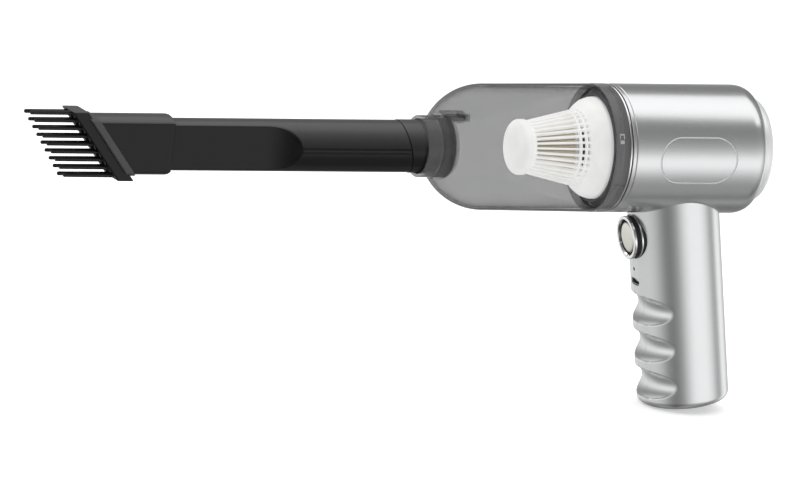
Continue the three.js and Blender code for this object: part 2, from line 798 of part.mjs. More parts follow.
function filterFrame() {
  const capRound = 5;
  const cap = turned([
    [filterFront, 0],
    ...arc(filterFront + capRound, filterCapRadius - capRound, capRound, capRound, Math.PI, Math.PI / 2, 3),
    [neckRear - 2.5, filterCapRadius],
    [neckRear, filterNeckRadius],
    [neckRear, 0],
  ]);
  const flange = ring(flangeFront, flangeFront + filterFlangeThickness, filterFlangeRadius,
    filterShoulderRadius - 0.6, filterRibCount * 2);
  const rib = [
    [neckRear - 1, filterNeckRadius - filterRibDepth],
    [neckRear - 1, filterNeckRadius],
    [ribFoot, filterShoulderRadius],
    [ribFoot + 3.4, filterShoulderRadius + 1.2],
    [flangeFront + 0.8, filterFlangeRadius - 3],
    [flangeFront + 0.8, filterShoulderRadius - 0.2],
    [ribFoot + 2, filterShoulderRadius - filterRibDepth + 0.4],
  ];
  const shape = new THREE.Shape(rib.map(([x, r]) => new THREE.Vector2(x, r)));
  const blade = new THREE.ExtrudeGeometry(shape, { depth: filterRibWidth, bevelEnabled: false });
  blade.translate(0, 0, -filterRibWidth / 2);
  const ribs = [];
  for (let i = 0; i < filterRibCount; i += 1) {
    ribs.push(spun((2 * Math.PI * (i + 0.5)) / filterRibCount, blade));
  }
  place('filter_frame', join(cap, flange, ...ribs), whitePlastic);
}

function filterElement() {
  const front = neckRear + gap;
  const rear = flangeFront + filterFlangeThickness - 0.4;
  const innerOf = (x) => ribRadius(Math.min(x, ribFoot)) - filterRibDepth - gap;
  const rings = [front, rear].map((x) => ({ x, peak: innerOf(x) }));
  const count = pleatCount * 2;
  const vertices = [];
  for (const inset of [0, pleatWall]) {
    for (const { x, peak } of rings) {
      for (let i = 0; i < count; i += 1) {
        const angle = (2 * Math.PI * i) / count;
        const radius = peak - inset - (i % 2 ? pleatDepth : 0);
        vertices.push(x, radius * Math.cos(angle), radius * Math.sin(angle));
      }
    }
  }
  const faces = [];
  const quad = (p, q, r, s) => faces.push(p, q, r, p, r, s);
  for (let i = 0; i < count; i += 1) {
    const j = (i + 1) % count;
    const [outerFront, outerRear, innerFront, innerRear] = [0, count, 2 * count, 3 * count];
    quad(outerFront + i, outerFront + j, outerRear + j, outerRear + i);
    quad(innerFront + j, innerFront + i, innerRear + i, innerRear + j);
    quad(outerFront + j, outerFront + i, innerFront + i, innerFront + j);
    quad(outerRear + i, outerRear + j, innerRear + j, innerRear + i);
  }
  const geometry = new THREE.BufferGeometry();
  geometry.setAttribute('position', new THREE.Float32BufferAttribute(vertices, 3));
  geometry.setIndex(faces);
  place('filter_element', solid(geometry), pleatPaper);
}

function filterSeal() {
  const rear = flangeSeat - gap;
  const front = rear - filterSealThickness;
  place('filter_seal', ring(front, rear, filterFlangeRadius, filterSealBore), blackRubber);
}

// ---------------------------------------------------------------- nozzle and brush

const cuffRear = snoutMouth + cuffInsert;
const cuffFront = snoutMouth - cuffProud;
const cuffRadius = snoutBore - gap;
const cuffBore = cuffRadius - cuffWall;
const tubeRadius = cuffRadius - nozzleStep;
const tubeBore = tubeRadius - nozzleWall;
const scoopEnd = cuffFront - nozzleTube;
const bladeTip = scoopEnd - nozzleBlade;

const slantReach = 40;              // larger than anything the slanted plane has to cut

// Everything ahead of a slanted plane that crosses the axis at x.
function aheadOfSlant(x, reach) {
  const tan = Math.tan(cuffSlant);
  return slabY([
    [x - reach, -reach],
    [x + tan * reach, -reach],
    [x - tan * reach, reach],
    [x - reach, reach],
  ], -reach, reach);
}

function cuff() {
  const blank = ring(cuffFront - 8, cuffRear, cuffRadius, cuffBore, largeSides);
  place('nozzle_cuff', cut(blank, aheadOfSlant(cuffFront, slantReach)), blackPlastic);
}

// What the two scoops take away, for a tube of a given size.
function scoopCuts(flat, radius, tube) {
  const rise = scoopRadius - (tubeRadius - bladeHalfThickness);
  const startX = scoopEnd - Math.sqrt(scoopRadius ** 2 - rise ** 2);
  const centreY = bladeHalfThickness + scoopRadius;
  const top = Math.min(tube + 2, centreY - 1);
  const endAngle = Math.asin((centreY - top) / radius);
  const outline = [
    [bladeTip - 2, top],
    [bladeTip - 2, flat],
    ...arc(startX, centreY, radius, -radius, Math.PI / 2, endAngle, 7),
  ];
  return [1, -1].map((side) => slabZ(outline.map(([x, y]) => [x, y * side]), -tube - 2, tube + 2));
}

function nozzle() {
  const rear = cuffFront + nozzleSpigot;
  const round = ring(cuffFront - 8, rear + 1, tubeRadius + 2, cuffBore - gap, largeSides);
  const besideSpigot = cut(round, aheadOfSlant(cuffFront - gap, slantReach));
  const outside = cut(
    disc(bladeTip, rear, tubeRadius, largeSides),
    besideSpigot,
    ...scoopCuts(bladeHalfThickness, scoopRadius, tubeRadius),
  );
  const inside = cut(
    disc(bladeTip - 1, rear + 1, tubeBore - tubeBoreEase),
    ...scoopCuts(bladeHalfThickness - nozzleWall, scoopRadius + nozzleWall, tubeRadius),
  );
  place('crevice_nozzle', cut(outside, inside), blackPlastic);
}

const sleeveInner = tubeRadius + gap;
const sleeveOuter = sleeveInner + sleeveWall;
const sleeveInnerFlat = bladeHalfThickness + gap;
const sleeveOuterFlat = sleeveInnerFlat + sleeveWall - 0.3;
const sleeveRear = bladeTip + sleeveOverlap;
const headFront = bladeTip - headReach;

// X of the slanted head's front face at a height.
function headFrontAt(z) {
  return headFront - z * Math.tan(headSlant);
}

function slantedPlate(front, rear, height, y0, y1) {
  const half = height / 2;
  return slabY([
    [headFrontAt(-half) + front, -half],
    [headFrontAt(-half) + rear, -half],
    [headFrontAt(half) + rear, half],
    [headFrontAt(half) + front, half],
  ], y0, y1);
}

function flattenedTube(x0, x1, radius, flat) {
  return meet(disc(x0, x1, radius, largeSides), box(x0 - 1, x1 + 1, -flat, flat, -radius - 1, radius + 1));
}

function brushHead() {
  const chamfer = 1.4;
  const sleeveBlank = meet(
    disc(headFront - headHeight, sleeveRear, sleeveOuter, largeSides),
    slabZ([
      [headFront - headHeight, -sleeveOuterFlat],
      [sleeveRear - chamfer, -sleeveOuterFlat],
      [sleeveRear, -sleeveOuterFlat + chamfer / 2],
      [sleeveRear, sleeveOuterFlat - chamfer / 2],
      [sleeveRear - chamfer, sleeveOuterFlat],
      [headFront - headHeight, sleeveOuterFlat],
    ], -sleeveOuter - 1, sleeveOuter + 1),
  );
  const behindHead = slantedPlate(headLength - 1, headHeight * 3, headHeight + 10, -20, 20);
  const sleeve = meet(sleeveBlank, behindHead);
  const half = headThickness / 2;
  const head = slantedPlate(0, headLength, headHeight, -half, half);
  const rib = meet(
    slantedPlate(headLength - 1, headLength + 3, headHeight - 8, -half - 2.4, half + 2.4),
    flattenedTube(headFront - headHeight, sleeveRear, sleeveOuter + 0.8, sleeveOuterFlat + 0.9),
  );
  const bore = flattenedTube(bladeTip - gap, sleeveRear + 1, sleeveInner, sleeveInnerFlat);
  const mouth = box(headFront - headHeight, bladeTip, -mouthWidth / 2, mouthWidth / 2,
    -mouthHeight / 2, mouthHeight / 2);
  const rebate = combOuterFace + gap;
  const combSeat = slantedPlate(-1, combDepth + gap, combHeight + 2 * gap, -rebate, rebate);
  place('brush_head', cut(join(sleeve, head, rib), bore, mouth, combSeat), blackPlastic);
}

const combInnerFace = mouthWidth / 2 + gap;
const combOuterFace = combInnerFace + combThickness;
const combHeight = tinePitch * (tineCount - 1) + 2.6;

function tineComb(name, side) {
  const y0 = side > 0 ? combInnerFace : -combOuterFace;
  const y1 = y0 + combThickness;
  const strip = slantedPlate(0, combDepth, combHeight, y0, y1);
  const tines = [];
  for (let i = 0; i < tineCount; i += 1) {
    const z = (i - (tineCount - 1) / 2) * tinePitch;
    const root = headFrontAt(z) + 1.2;
    const tip = headFront - tineReach - z * Math.tan(tineTipSlant);
    const outermost = i === 0 || i === tineCount - 1;
    const radius = tineRadius * (outermost ? 1.15 : 1);
    const tine = new THREE.CylinderGeometry(radius, radius * 0.75, root - tip, 8);
    tine.rotateZ(-Math.PI / 2);
    const middle = new THREE.Matrix4().makeTranslation((root + tip) / 2, (y0 + y1) / 2, z);
    tines.push(solid(tine, middle));
  }
  place(name, join(strip, ...tines), blackPlastic);
}

// ---------------------------------------------------------------- fan and motor

const coverFront = frameRear + gap;
const chamberFront = coverFront + fanCoverWall;
const diffuserFront = chamberFront + fanChamberLength + gap;
const diffuserRear = diffuserFront + diffuserThickness;
const motorFront = diffuserRear + gap;
const motorRear = motorFront + motorLength;
const fanBack = diffuserFront - 0.8;
const fanPlate = 1.4;
const coreMiddle = (motorFront + motorRear) / 2;

function fanCover() {
  place('fan_cover', turned([
    [coverFront, fanEyeRadius],
    [coverFront, bodyBore - gap],
    [diffuserFront - gap, bodyBore - gap],
    [diffuserFront - gap, bodyBore - gap - fanCoverWall],
    [chamberFront, bodyBore - gap - fanCoverWall],
    [chamberFront, fanEyeRadius],
  ]), greyPlastic);
}

function impeller() {
  const plateFront = fanBack - fanPlate;
  const hubFront = plateFront - fanBladeHeight + 0.6;
  const plate = disc(plateFront, fanBack, fanRadius + 0.6);
  const hub = turned([
    [hubFront, 0],
    [hubFront, 3.4],
    [plateFront + 0.5, 6.5],
    [plateFront + 0.5, 0],
  ], smallSides);
  const bladeLength = fanRadius - 6;
  const blades = [];
  for (let i = 0; i < fanBladeCount; i += 1) {
    const blade = new THREE.BoxGeometry(fanBladeHeight, 1.1, bladeLength);
    const lean = new THREE.Matrix4().makeRotationX(-0.5);
    const shift = new THREE.Matrix4().makeTranslation(0, 0, bladeLength / 2);
    const out = new THREE.Matrix4().makeTranslation(plateFront + 0.5 - fanBladeHeight / 2, 0, 5.2);
    blades.push(spun((2 * Math.PI * i) / fanBladeCount, blade, out.multiply(lean).multiply(shift)));
  }
  const bore = disc(hubFront + 1.2, fanBack + 1, shaftRadius + gap, tinySides);
  place('impeller', cut(join(plate, hub, ...blades), bore), greyPlastic);
}

function diffuser() {
  const plate = ring(diffuserFront, diffuserRear, bodyBore - gap, shaftRadius + 1.6);
  const slots = [];
  for (let i = 0; i < diffuserSlotCount; i += 1) {
    const angle = (2 * Math.PI * i) / diffuserSlotCount;
    slots.push(spunBox(angle, diffuserFront - 1, diffuserRear + 1, -4.4, 4.4, 23, 29.2));
  }
  place('diffuser', cut(plate, ...slots), greyPlastic);
}

function motor() {
  const innerRadius = motorRadius - motorWall;
  const plateRear = motorFront + motorEndWall;
  const pocket = bearingRadius + gap;
  place('motor_can', turned([
    [motorFront, innerRadius],
    [motorFront, motorRadius],
    [motorRear, motorRadius],
    [motorRear, shaftRadius + 1.2],
    [motorRear - 1, shaftRadius + 1.2],
    [motorRear - 1, pocket],
    [motorRear - 1 - bearingLength - gap, pocket],
    [motorRear - 1 - bearingLength - gap, pocket + 1.2],
    [motorRear - motorEndWall, pocket + 1.2],
    [motorRear - motorEndWall, innerRadius],
  ]), steel);
  place('motor_front_plate', turned([
    [motorFront, shaftRadius + 1.2],
    [motorFront, innerRadius - gap],
    [plateRear, innerRadius - gap],
    [plateRear, pocket + 1.2],
    [motorFront + 1 + bearingLength + gap, pocket + 1.2],
    [motorFront + 1 + bearingLength + gap, pocket],
    [motorFront + 1, pocket],
    [motorFront + 1, shaftRadius + 1.2],
  ]), steel);
  const bearing = (x0) => ring(x0, x0 + bearingLength, bearingRadius, shaftRadius + gap, smallSides);
  place('front_bearing', bearing(motorFront + 1 + gap), steel);
  place('rear_bearing', bearing(motorRear - 1 - gap - bearingLength), steel);
  const windings = [];
  for (let i = 0; i < statorPoles; i += 1) {
    const angle = (2 * Math.PI * (i + 0.5)) / statorPoles;
    windings.push(spunBox(angle, coreMiddle - coreLength, coreMiddle + coreLength,
      -1.4, 1.4, 7, innerRadius - 2.6));
  }
  const core = ring(coreMiddle - coreLength / 2, coreMiddle + coreLength / 2, innerRadius - gap,
    statorInnerRadius);
  place('stator', cut(core, ...windings), copper);
  place('rotor_core', ring(coreMiddle - coreLength / 2, coreMiddle + coreLength / 2,
    statorInnerRadius - 0.5, shaftRadius + gap, smallSides), steel);
  const shaftFront = fanBack - fanPlate - fanBladeHeight + 0.6 + 1.2 + gap;
  place('motor_shaft', disc(shaftFront, motorRear + 1.2, shaftRadius, tinySides), steel);
}

function rearBracket() {
  const rear = motorRear - 1.5;
  const front = rear - bracketWidth;
  const hoop = ring(front, rear, motorRadius + gap + 2.2, motorRadius + gap);
  const arms = [35, 145, 215, 325].map((degrees) => {
    const angle = THREE.MathUtils.degToRad(degrees - 90);
    const arm = spunBox(angle, front, rear, -2, 2, motorRadius + 1.2, bodyBore + 2);
    return meet(arm, disc(front - 1, rear + 1, bodyBore - gap));
  });
  place('rear_motor_bracket', join(hoop, ...arms), blackRubber);
}

// ---------------------------------------------------------------- push button, boards and socket

// Pieces round the button's axis: x runs backwards, measured from the grip's axis.
const onButton = new THREE.Group();
onButton.position.z = -buttonDepth;
onGrip.add(onButton);

const bezelFace = -(gripRadius + buttonProud);
const capFace = bezelFace + 0.5;
const capBack = capFace + buttonCapLength;
const gasketRadius = bezelRadius - bezelWall - gap;
const boardFront = -7.4;
const boardBack = boardFront + boardThickness;
const switchFront = boardFront - gap - switchDepth;

function pushButton() {
  const flangeX = gripFrontPlane + gap;
  place('button_bezel', turned([
    [bezelFace + 0.8, bezelRadius - bezelWall],
    [bezelFace, bezelRadius - bezelWall + 0.8],
    [bezelFace, bezelRadius - 0.7],
    [bezelFace + 0.7, bezelRadius],
    [flangeX, bezelRadius],
    [flangeX, bezelRadius + 1.4],
    [flangeX + bezelFlange, bezelRadius + 1.4],
    [flangeX + bezelFlange, buttonCapRadius - 1.4],
    [flangeX, buttonCapRadius - 1.4],
    [flangeX, bezelRadius - bezelWall],
  ]), brightMetal, onButton);
  place('button_gasket', ring(bezelFace + 2.2, flangeX - gap, gasketRadius, buttonCapRadius + gap),
    blackRubber, onButton);
  const hollow = ring(capFace + 2, capBack + 1, buttonCapRadius - 1.4, stemRadius);
  const stemEnd = switchFront - gap - 0.8;
  const cap = join(
    turned([
      [capFace, 0],
      [capFace + 0.25, buttonCapRadius * 0.6],
      [capFace + 0.9, buttonCapRadius],
      [capBack, buttonCapRadius],
      [capBack, 0],
    ]),
    disc(capFace + 2, stemEnd, stemRadius, smallSides),
  );
  place('button_cap', cut(cap, hollow), brightMetal, onButton);
  const plunger = join(
    disc(stemEnd + gap, switchFront + 2, plungerRadius, smallSides),
    disc(switchFront + 1, switchFront + 2, plungerRadius + 0.8, smallSides),
  );
  place('switch_plunger', plunger, blackPlastic, onButton);
  const half = switchSize / 2;
  const body = cut(
    box(switchFront, boardFront - gap, -half, half, -half, half),
    disc(switchFront - 1, switchFront + 2 + buttonTravel + gap, plungerRadius + gap, smallSides),
    disc(switchFront + 1 - gap, switchFront + 2 + buttonTravel + gap, plungerRadius + 0.8 + gap, smallSides),
  );
  place('switch_body', body, greyPlastic, onButton);
}

class Helix extends THREE.Curve {
  constructor(radius, length, turns) {
    super();
    Object.assign(this, { radius, length, turns });
  }

  getPoint(t) {
    const angle = 2 * Math.PI * this.turns * t;
    const y = this.radius * Math.cos(angle);
    return new THREE.Vector3(this.length * t, y, this.radius * Math.sin(angle));
  }
}

function buttonSpring() {
  const rear = switchFront - gap - springWire;
  const front = capFace + 2 + buttonTravel + gap + springWire;
  const wire = new THREE.Shape();
  wire.absarc(0, 0, springWire, 0, 2 * Math.PI, false);
  const path = new Helix(springRadius, rear - front, springTurns);
  const geometry = new THREE.ExtrudeGeometry(wire, {
    extrudePath: path,
    steps: 12 * springTurns,
    curveSegments: 2,
  });
  const move = new THREE.Matrix4().makeTranslation(front, 0, 0);
  place('button_spring', solid(geometry, move), steel, onButton);
}

function boards() {
  const top = -34;
  const bottom = -67.6;
  place('control_board', box(boardFront, boardBack, -12, 12, bottom, top), boardGreen, onGrip);
  const lightBack = boardFront - gap;
  const light = disc(-gripRadius + 0.1, lightBack, lightRadius, tinySides);
  const lightMesh = place('indicator_light_pipe', light, whitePlastic, onGrip);
  lightMesh.position.z = -lightDepth;
  const socketFront = -gripRadius + 0.6;
  const socketBack = socketFront + socketLength;
  const wide = socketWidth / 2;
  const tall = socketHeight / 2;
  const outline = (halfWidth, halfHeight, x0, x1) => {
    const shape = new THREE.Shape();
    shape.absarc(halfWidth - halfHeight, 0, halfHeight, -Math.PI / 2, Math.PI / 2, false);
    shape.absarc(-(halfWidth - halfHeight), 0, halfHeight, Math.PI / 2, (3 * Math.PI) / 2, false);
    const geometry = new THREE.ExtrudeGeometry(shape, {
      depth: x1 - x0,
      bevelEnabled: false,
      curveSegments: 4,
    });
    const toX = new THREE.Matrix4().makeBasis(
      new THREE.Vector3(0, 1, 0),
      new THREE.Vector3(0, 0, 1),
      new THREE.Vector3(1, 0, 0),
    );
    return solid(geometry, new THREE.Matrix4().makeTranslation(x0, 0, 0).multiply(toX));
  };
  const shell = outline(wide, tall, socketFront, socketBack);
  const inside = outline(wide - socketShell, tall - socketShell, socketFront - 1, socketBack - 1.5);
  const tongue = box(socketFront + 1.2, socketBack - 1, -3.2, 3.2, -0.35, 0.35);
  const socket = place('usb_c_socket', join(cut(shell, inside), tongue), steel, onGrip);
  socket.position.z = -socketDepth;
  const boardTop = -(socketDepth + tall + gap);
  const board = box(gripFrontPlane + gap, -4.2, -7, 7, boardTop - 1.2, boardTop);
  place('charging_board', board, boardGreen, onGrip);
}

function cells() {
  const top = -(gripLength - gripWall - gap - cradleWall - gap - cellLength);
  const bottom = top - cellLength;
  const offset = cellRadius + gap / 2;
  const upright = (x, y, z0, z1, radius, segments) => {
    const geometry = new THREE.CylinderGeometry(radius, radius, z1 - z0, segments);
    geometry.rotateX(Math.PI / 2);
    return solid(geometry, new THREE.Matrix4().makeTranslation(x, y, (z0 + z1) / 2));
  };
  for (const [name, side] of [['cell_left', -1], ['cell_right', 1]]) {
    const y = side * offset;
    const can = upright(cellSetback, y, bottom, top - 0.8, cellRadius, middlingSides);
    const tip = upright(cellSetback, y, top - 1, top, 2.8, tinySides);
    place(name, join(can, tip), cellWrap, onGrip);
  }
  const floor = bottom - gap - cradleWall;
  const roof = top + gap + cradleWall;
  const blank = meet(
    upright(0, 0, floor, roof, gripBore - gap, middlingSides),
    box(cellSetback - 2.5, gripRadius, -gripRadius, gripRadius, floor - 1, roof + 1),
  );
  const seats = [-1, 1].map((side) => upright(cellSetback, side * offset, bottom - gap, top + gap,
    cellRadius + gap, middlingSides));
  place('cell_cradle', cut(blank, ...seats), greyPlastic, onGrip);
}

// ---------------------------------------------------------------- assembly

housingHalves();
caseScrews();
rearCap();
trimRing();
lockRing();
frontFrame();
dustCup();
inletFlap();
filterFrame();
filterElement();
filterSeal();
cuff();
nozzle();
brushHead();
tineComb('tine_comb_left', -1);
tineComb('tine_comb_right', 1);
fanCover();
impeller();
diffuser();
motor();
rearBracket();
pushButton();
buttonSpring();
boards();
cells();

export default model;
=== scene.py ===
from math import acos, asin, ceil, cos, degrees, inf, pi, radians, sin, sqrt, tan

import bmesh
import bpy
from mathutils import Matrix, Vector


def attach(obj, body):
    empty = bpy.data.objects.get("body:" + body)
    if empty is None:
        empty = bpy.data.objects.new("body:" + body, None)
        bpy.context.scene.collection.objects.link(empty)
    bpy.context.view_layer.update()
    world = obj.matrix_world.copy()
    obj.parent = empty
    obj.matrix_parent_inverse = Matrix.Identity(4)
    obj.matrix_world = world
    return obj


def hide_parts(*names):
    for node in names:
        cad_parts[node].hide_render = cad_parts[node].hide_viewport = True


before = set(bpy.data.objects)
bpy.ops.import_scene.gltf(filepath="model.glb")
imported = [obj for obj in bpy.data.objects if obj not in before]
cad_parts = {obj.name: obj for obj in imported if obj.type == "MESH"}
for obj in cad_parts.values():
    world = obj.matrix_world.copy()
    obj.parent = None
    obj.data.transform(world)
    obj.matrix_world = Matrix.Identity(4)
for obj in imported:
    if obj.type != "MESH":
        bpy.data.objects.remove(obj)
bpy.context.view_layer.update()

scene = bpy.context.scene

# Shapes below are drawn in millimetres in the body's own directions: the body axis lies along X at height 0,
# and X is 0 where the grip's axis crosses it. Grip shapes are drawn with x running backwards across the grip
# and z upwards along it.
RAKE = radians(10)
HOLD = 105.5
BODY_PLACE = Vector((-HOLD * sin(RAKE), 0.0, HOLD * cos(RAKE)))
ON_GRIP = Matrix.Rotation(-RAKE, 4, "Y")
METRES = 0.001

GAP = 0.3
BODY_RADIUS = 34.4
HOUSING_FRONT = -35.6
HOUSING_REAR = 42.2
BODY_BORE = 32.2
FRONT_LIP = 3.3
SPIGOT_RADIUS = 30.7
GRIP_RADIUS = 24.6
GRIP_LENGTH = 139.3
GROOVE_DEPTHS = (85.0, 105.5, 126.0)
BUTTON_DEPTH = 45.0
LIGHT_DEPTH = 63.0
SOCKET_DEPTH = 70.0
TRIM_FRONT = -39.6
LOCK_FRONT = -47.6
LUG_ANGLES = (-90, -210, -330)
LUG_HALF = 8
CUP_REAR = -47.9
CUP_REAR_RADIUS = 34.3
DOME_START = -111.0
DOME_RADIUS = 33.7
CUP_WALL = 1.3
SNOUT_MOUTH = -149.3
SNOUT_INNER = -133.7
SNOUT_RADIUS = 16.5
SNOUT_BORE = 14.5
FLAP_PIN = (-124.4, 16.6)
FILTER_FRONT = -93.6
NECK_REAR = -84.6
PLEAT_REAR = -62.6
BELL_FRONT = -56.2
FLANGE_FRONT = -47.1
FLANGE_REAR = -44.7
RIB_COUNT = 34
CUFF_FRONT = -158.0
CUFF_REAR = -140.6
CUFF_RADIUS = 14.2
CUFF_BORE = 13.1
CUFF_SLOPE = tan(radians(15))
TUBE_RADIUS = 13.95
TUBE_BORE = 11.35
SCOOP_END = -222.0
SCOOP_RADIUS = 32.0
BLADE_FLAT = 7.4
BLADE_WALL = 2.2
BLADE_TIP = -316.0
NOZZLE_REAR = -146.0
SLEEVE_REAR = -295.0
HEAD_FRONT = -339.5
HEAD_SLOPE = tan(radians(39))
HEAD_HEIGHT = 37.4
HEAD_LENGTH = 9.5
HEAD_HALF = 8.0
MOUTH_HALF = 2.6
MOUTH_HEIGHT = 27.0
TINE_COUNT = 9
TINE_PITCH = 4.2
TINE_STAGGER = 0.5
TINE_REACH = 26.49
TINE_TIP_SLOPE = tan(radians(34))
COMB_INNER = 2.9
COMB_OUTER = 4.5
SCREW_SEAT = 8.0

SCREW_PLACES = [
    Vector((4, 0, 25.8)),
    Vector((25, 0, 25.8)),
    ON_GRIP @ Vector((14, 0, -62)),
    ON_GRIP @ Vector((-10.5, 0, -95.25)),
    ON_GRIP @ Vector((-10.5, 0, -115.75)),
]


# ---- mesh building

def linked(name, data):
    """A new object in the scene."""
    made = bpy.data.objects.new(name, data)
    scene.collection.objects.link(made)
    return made


def band(low, high, count):
    """Faces between two rings of points, given the number of each ring's first point."""
    return [(low + i, low + (i + 1) % count, high + (i + 1) % count, high + i) for i in range(count)]


def shape(points, faces, matrix=None):
    """A closed mesh object from points and faces, with its faces turned outwards."""
    mesh = bpy.data.meshes.new("shape")
    mesh.from_pydata([tuple(p) for p in points], [], faces)
    if matrix is not None:
        mesh.transform(matrix)
    worked = bmesh.new()
    worked.from_mesh(mesh)
    bmesh.ops.remove_doubles(worked, verts=worked.verts, dist=1e-5)
    bmesh.ops.dissolve_degenerate(worked, edges=worked.edges, dist=1e-6)
    bmesh.ops.recalc_face_normals(worked, faces=worked.faces)
    worked.to_mesh(mesh)
    worked.free()
    return linked("shape", mesh)


def rounded(corners, steps=6):
    """Corner points (x, r) or (x, r, rounding), with each rounding drawn as an arc."""
    drawn = []
    for i, corner in enumerate(corners):
        here = Vector(corner[:2])
        radius = corner[2] if len(corner) > 2 else 0
        if not radius:
            drawn.append(tuple(here))
            continue
        back = (Vector(corners[i - 1][:2]) - here).normalized()
        on = (Vector(corners[(i + 1) % len(corners)][:2]) - here).normalized()
        half = back.angle(on) / 2
        centre = here + (back + on).normalized() * (radius / sin(half))
        start = here + back * (radius / tan(half)) - centre
        end = here + on * (radius / tan(half)) - centre
        sweep = start.angle(end)
        for k in range(steps + 1):
            t = k / steps
            spoke = start * sin((1 - t) * sweep) + end * sin(t * sweep)
            drawn.append(tuple(centre + spoke / sin(sweep)))
    return drawn


def evenly(start, end, count):
    """Places from start towards end, without the end itself."""
    return [start + (end - start) * k / count for k in range(count)]


def arc(cx, cr, rx, rr, start, end, steps):
    """Points on an arc between two angles in degrees, as (x, r)."""
    drawn = []
    for k in range(steps + 1):
        a = radians(start + (end - start) * k / steps)
        drawn.append((cx + rx * cos(a), cr + rr * sin(a)))
    return drawn


def fine_rows(profile, longest):
    """The profile with points added, so that no step is longer than this."""
    drawn = [profile[0]]
    for a, b in zip(profile, profile[1:]):
        count = max(1, ceil((Vector(b) - Vector(a)).length / longest))
        for k in range(1, count + 1):
            drawn.append(tuple(Vector(a).lerp(Vector(b), k / count)))
    return drawn


def lathe(profile, sides=160, matrix=None):
    """A solid turned about X from (x, radius) points in order round the section."""
    on_axis = profile[0][1] == 0
    rows = profile[1:-1] if on_axis else profile
    points = []
    for x, r in rows:
        for i in range(sides):
            a = 2 * pi * i / sides
            points.append((x, r * cos(a), r * sin(a)))
    faces = []
    for k in range(len(rows) - 1 if on_axis else len(rows)):
        faces += band(k * sides, (k + 1) % len(rows) * sides, sides)
    if on_axis:
        for end, row in ((profile[0], 0), (profile[-1], len(rows) - 1)):
            middle = len(points)
            points.append((end[0], 0, 0))
            for i in range(sides):
                faces.append((middle, row * sides + i, row * sides + (i + 1) % sides))
    return shape(points, faces, matrix)


def loft(loops, matrix=None):
    """A solid through loops of points, capped with a face at each end."""
    count = len(loops[0])
    points = [p for loop in loops for p in loop]
    faces = [tuple(range(count)), tuple(range(len(points) - count, len(points)))]
    for k in range(len(loops) - 1):
        faces += band(k * count, (k + 1) * count, count)
    return shape(points, faces, matrix)


def block(x0, x1, y0, y1, z0, z1, matrix=None, rounding=0.0, slope=0.0):
    """A block with its edges rounded. slope leans it forwards as it rises."""
    loops = [
        [(x - z * slope, y, z) for y, z in ((y0, z0), (y1, z0), (y1, z1), (y0, z1))]
        for x in (x0, x1)
    ]
    made = loft(loops)
    if rounding:
        soften(made, rounding)
    if matrix is not None:
        made.data.transform(matrix)
    return made


def soften(piece, width):
    """Rounds every edge of a piece."""
    worked = bmesh.new()
    worked.from_mesh(piece.data)
    bmesh.ops.bevel(
        worked, geom=list(worked.edges), offset=width, segments=3,
        profile=0.5, affect="EDGES", clamp_overlap=True,
    )
    worked.to_mesh(piece.data)
    worked.free()


def rod(start, end, radius, sides=32, tip=None, rounding=0.0):
    """A round rod between two points. tip is its radius at the end, and rounding rounds that end."""
    start, end = Vector(start), Vector(end)
    length = (end - start).length
    tip = radius if tip is None else tip
    profile = [(0, 0), (0, radius)]
    if rounding:
        profile += arc(length - rounding, tip - rounding, rounding, rounding, 90, 0, 6)
    else:
        profile.append((length, tip))
    profile.append((length, 0))
    turn = Vector((1, 0, 0)).rotation_difference(end - start).to_matrix().to_4x4()
    return lathe(profile, sides, Matrix.Translation(start) @ turn)


def together(pieces):
    """Separate solids as one mesh object."""
    worked = bmesh.new()
    for piece in pieces:
        worked.from_mesh(piece.data)
        bpy.data.objects.remove(piece)
    mesh = bpy.data.meshes.new("shape")
    worked.to_mesh(mesh)
    worked.free()
    return linked("shape", mesh)


def carve(piece, tool, operation="DIFFERENCE"):
    """piece with tool cut from it, joined to it, or kept only where both are. tool is used up."""
    modifier = piece.modifiers.new("carve", "BOOLEAN")
    modifier.operation = operation
    modifier.solver = "MANIFOLD"
    modifier.object = tool
    graph = bpy.context.evaluated_depsgraph_get()
    piece.data = bpy.data.meshes.new_from_object(piece.evaluated_get(graph))
    piece.modifiers.clear()
    bpy.data.objects.remove(tool)
    if not piece.data.polygons:
        raise RuntimeError("a carved piece came out empty")
    return piece


def join(piece, tool):
    return carve(piece, tool, "UNION")


def meet(piece, tool):
    return carve(piece, tool, "INTERSECT")


def copied(piece):
    return linked("shape", piece.data.copy())


def paint(mesh, finish):
    mesh.materials.clear()
    mesh.materials.append(finish)


def settle(piece, name, finish, body, stands_for=(), crease=28):
    """Gives a finished shape its place in the row frame, its shading, finish and body."""
    piece.name = name
    piece.data.name = name
    piece.data.transform(Matrix.Scale(METRES, 4) @ Matrix.Translation(BODY_PLACE))
    piece.data.shade_smooth()
    piece.data.set_sharp_from_angle(angle=radians(crease))
    weighted = piece.modifiers.new("weighted normals", "WEIGHTED_NORMAL")
    weighted.keep_sharp = True
    weighted.mode = "FACE_AREA"
    paint(piece.data, finish)
    if stands_for:
        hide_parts(*stands_for)
    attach(piece, body)


# ---- finishes

def shade(colour, factor):
    return tuple(min(1.0, c * factor) for c in colour)


class Wire:
    """One output in a finish. Sums written with it add Math nodes."""

    def __init__(self, finish, socket):
        self.finish = finish
        self.socket = socket

    def _sum(self, operation, first, second):
        return self.finish.add("ShaderNodeMath", {"operation": operation}, {0: first, 1: second})

    def __add__(self, other):
        return self._sum("ADD", self, other)

    __radd__ = __add__

    def __sub__(self, other):
        return self._sum("SUBTRACT", self, other)

    def __rsub__(self, other):
        return self._sum("SUBTRACT", other, self)

    def __mul__(self, other):
        return self._sum("MULTIPLY", self, other)

    def __pow__(self, other):
        return self._sum("POWER", self, other)


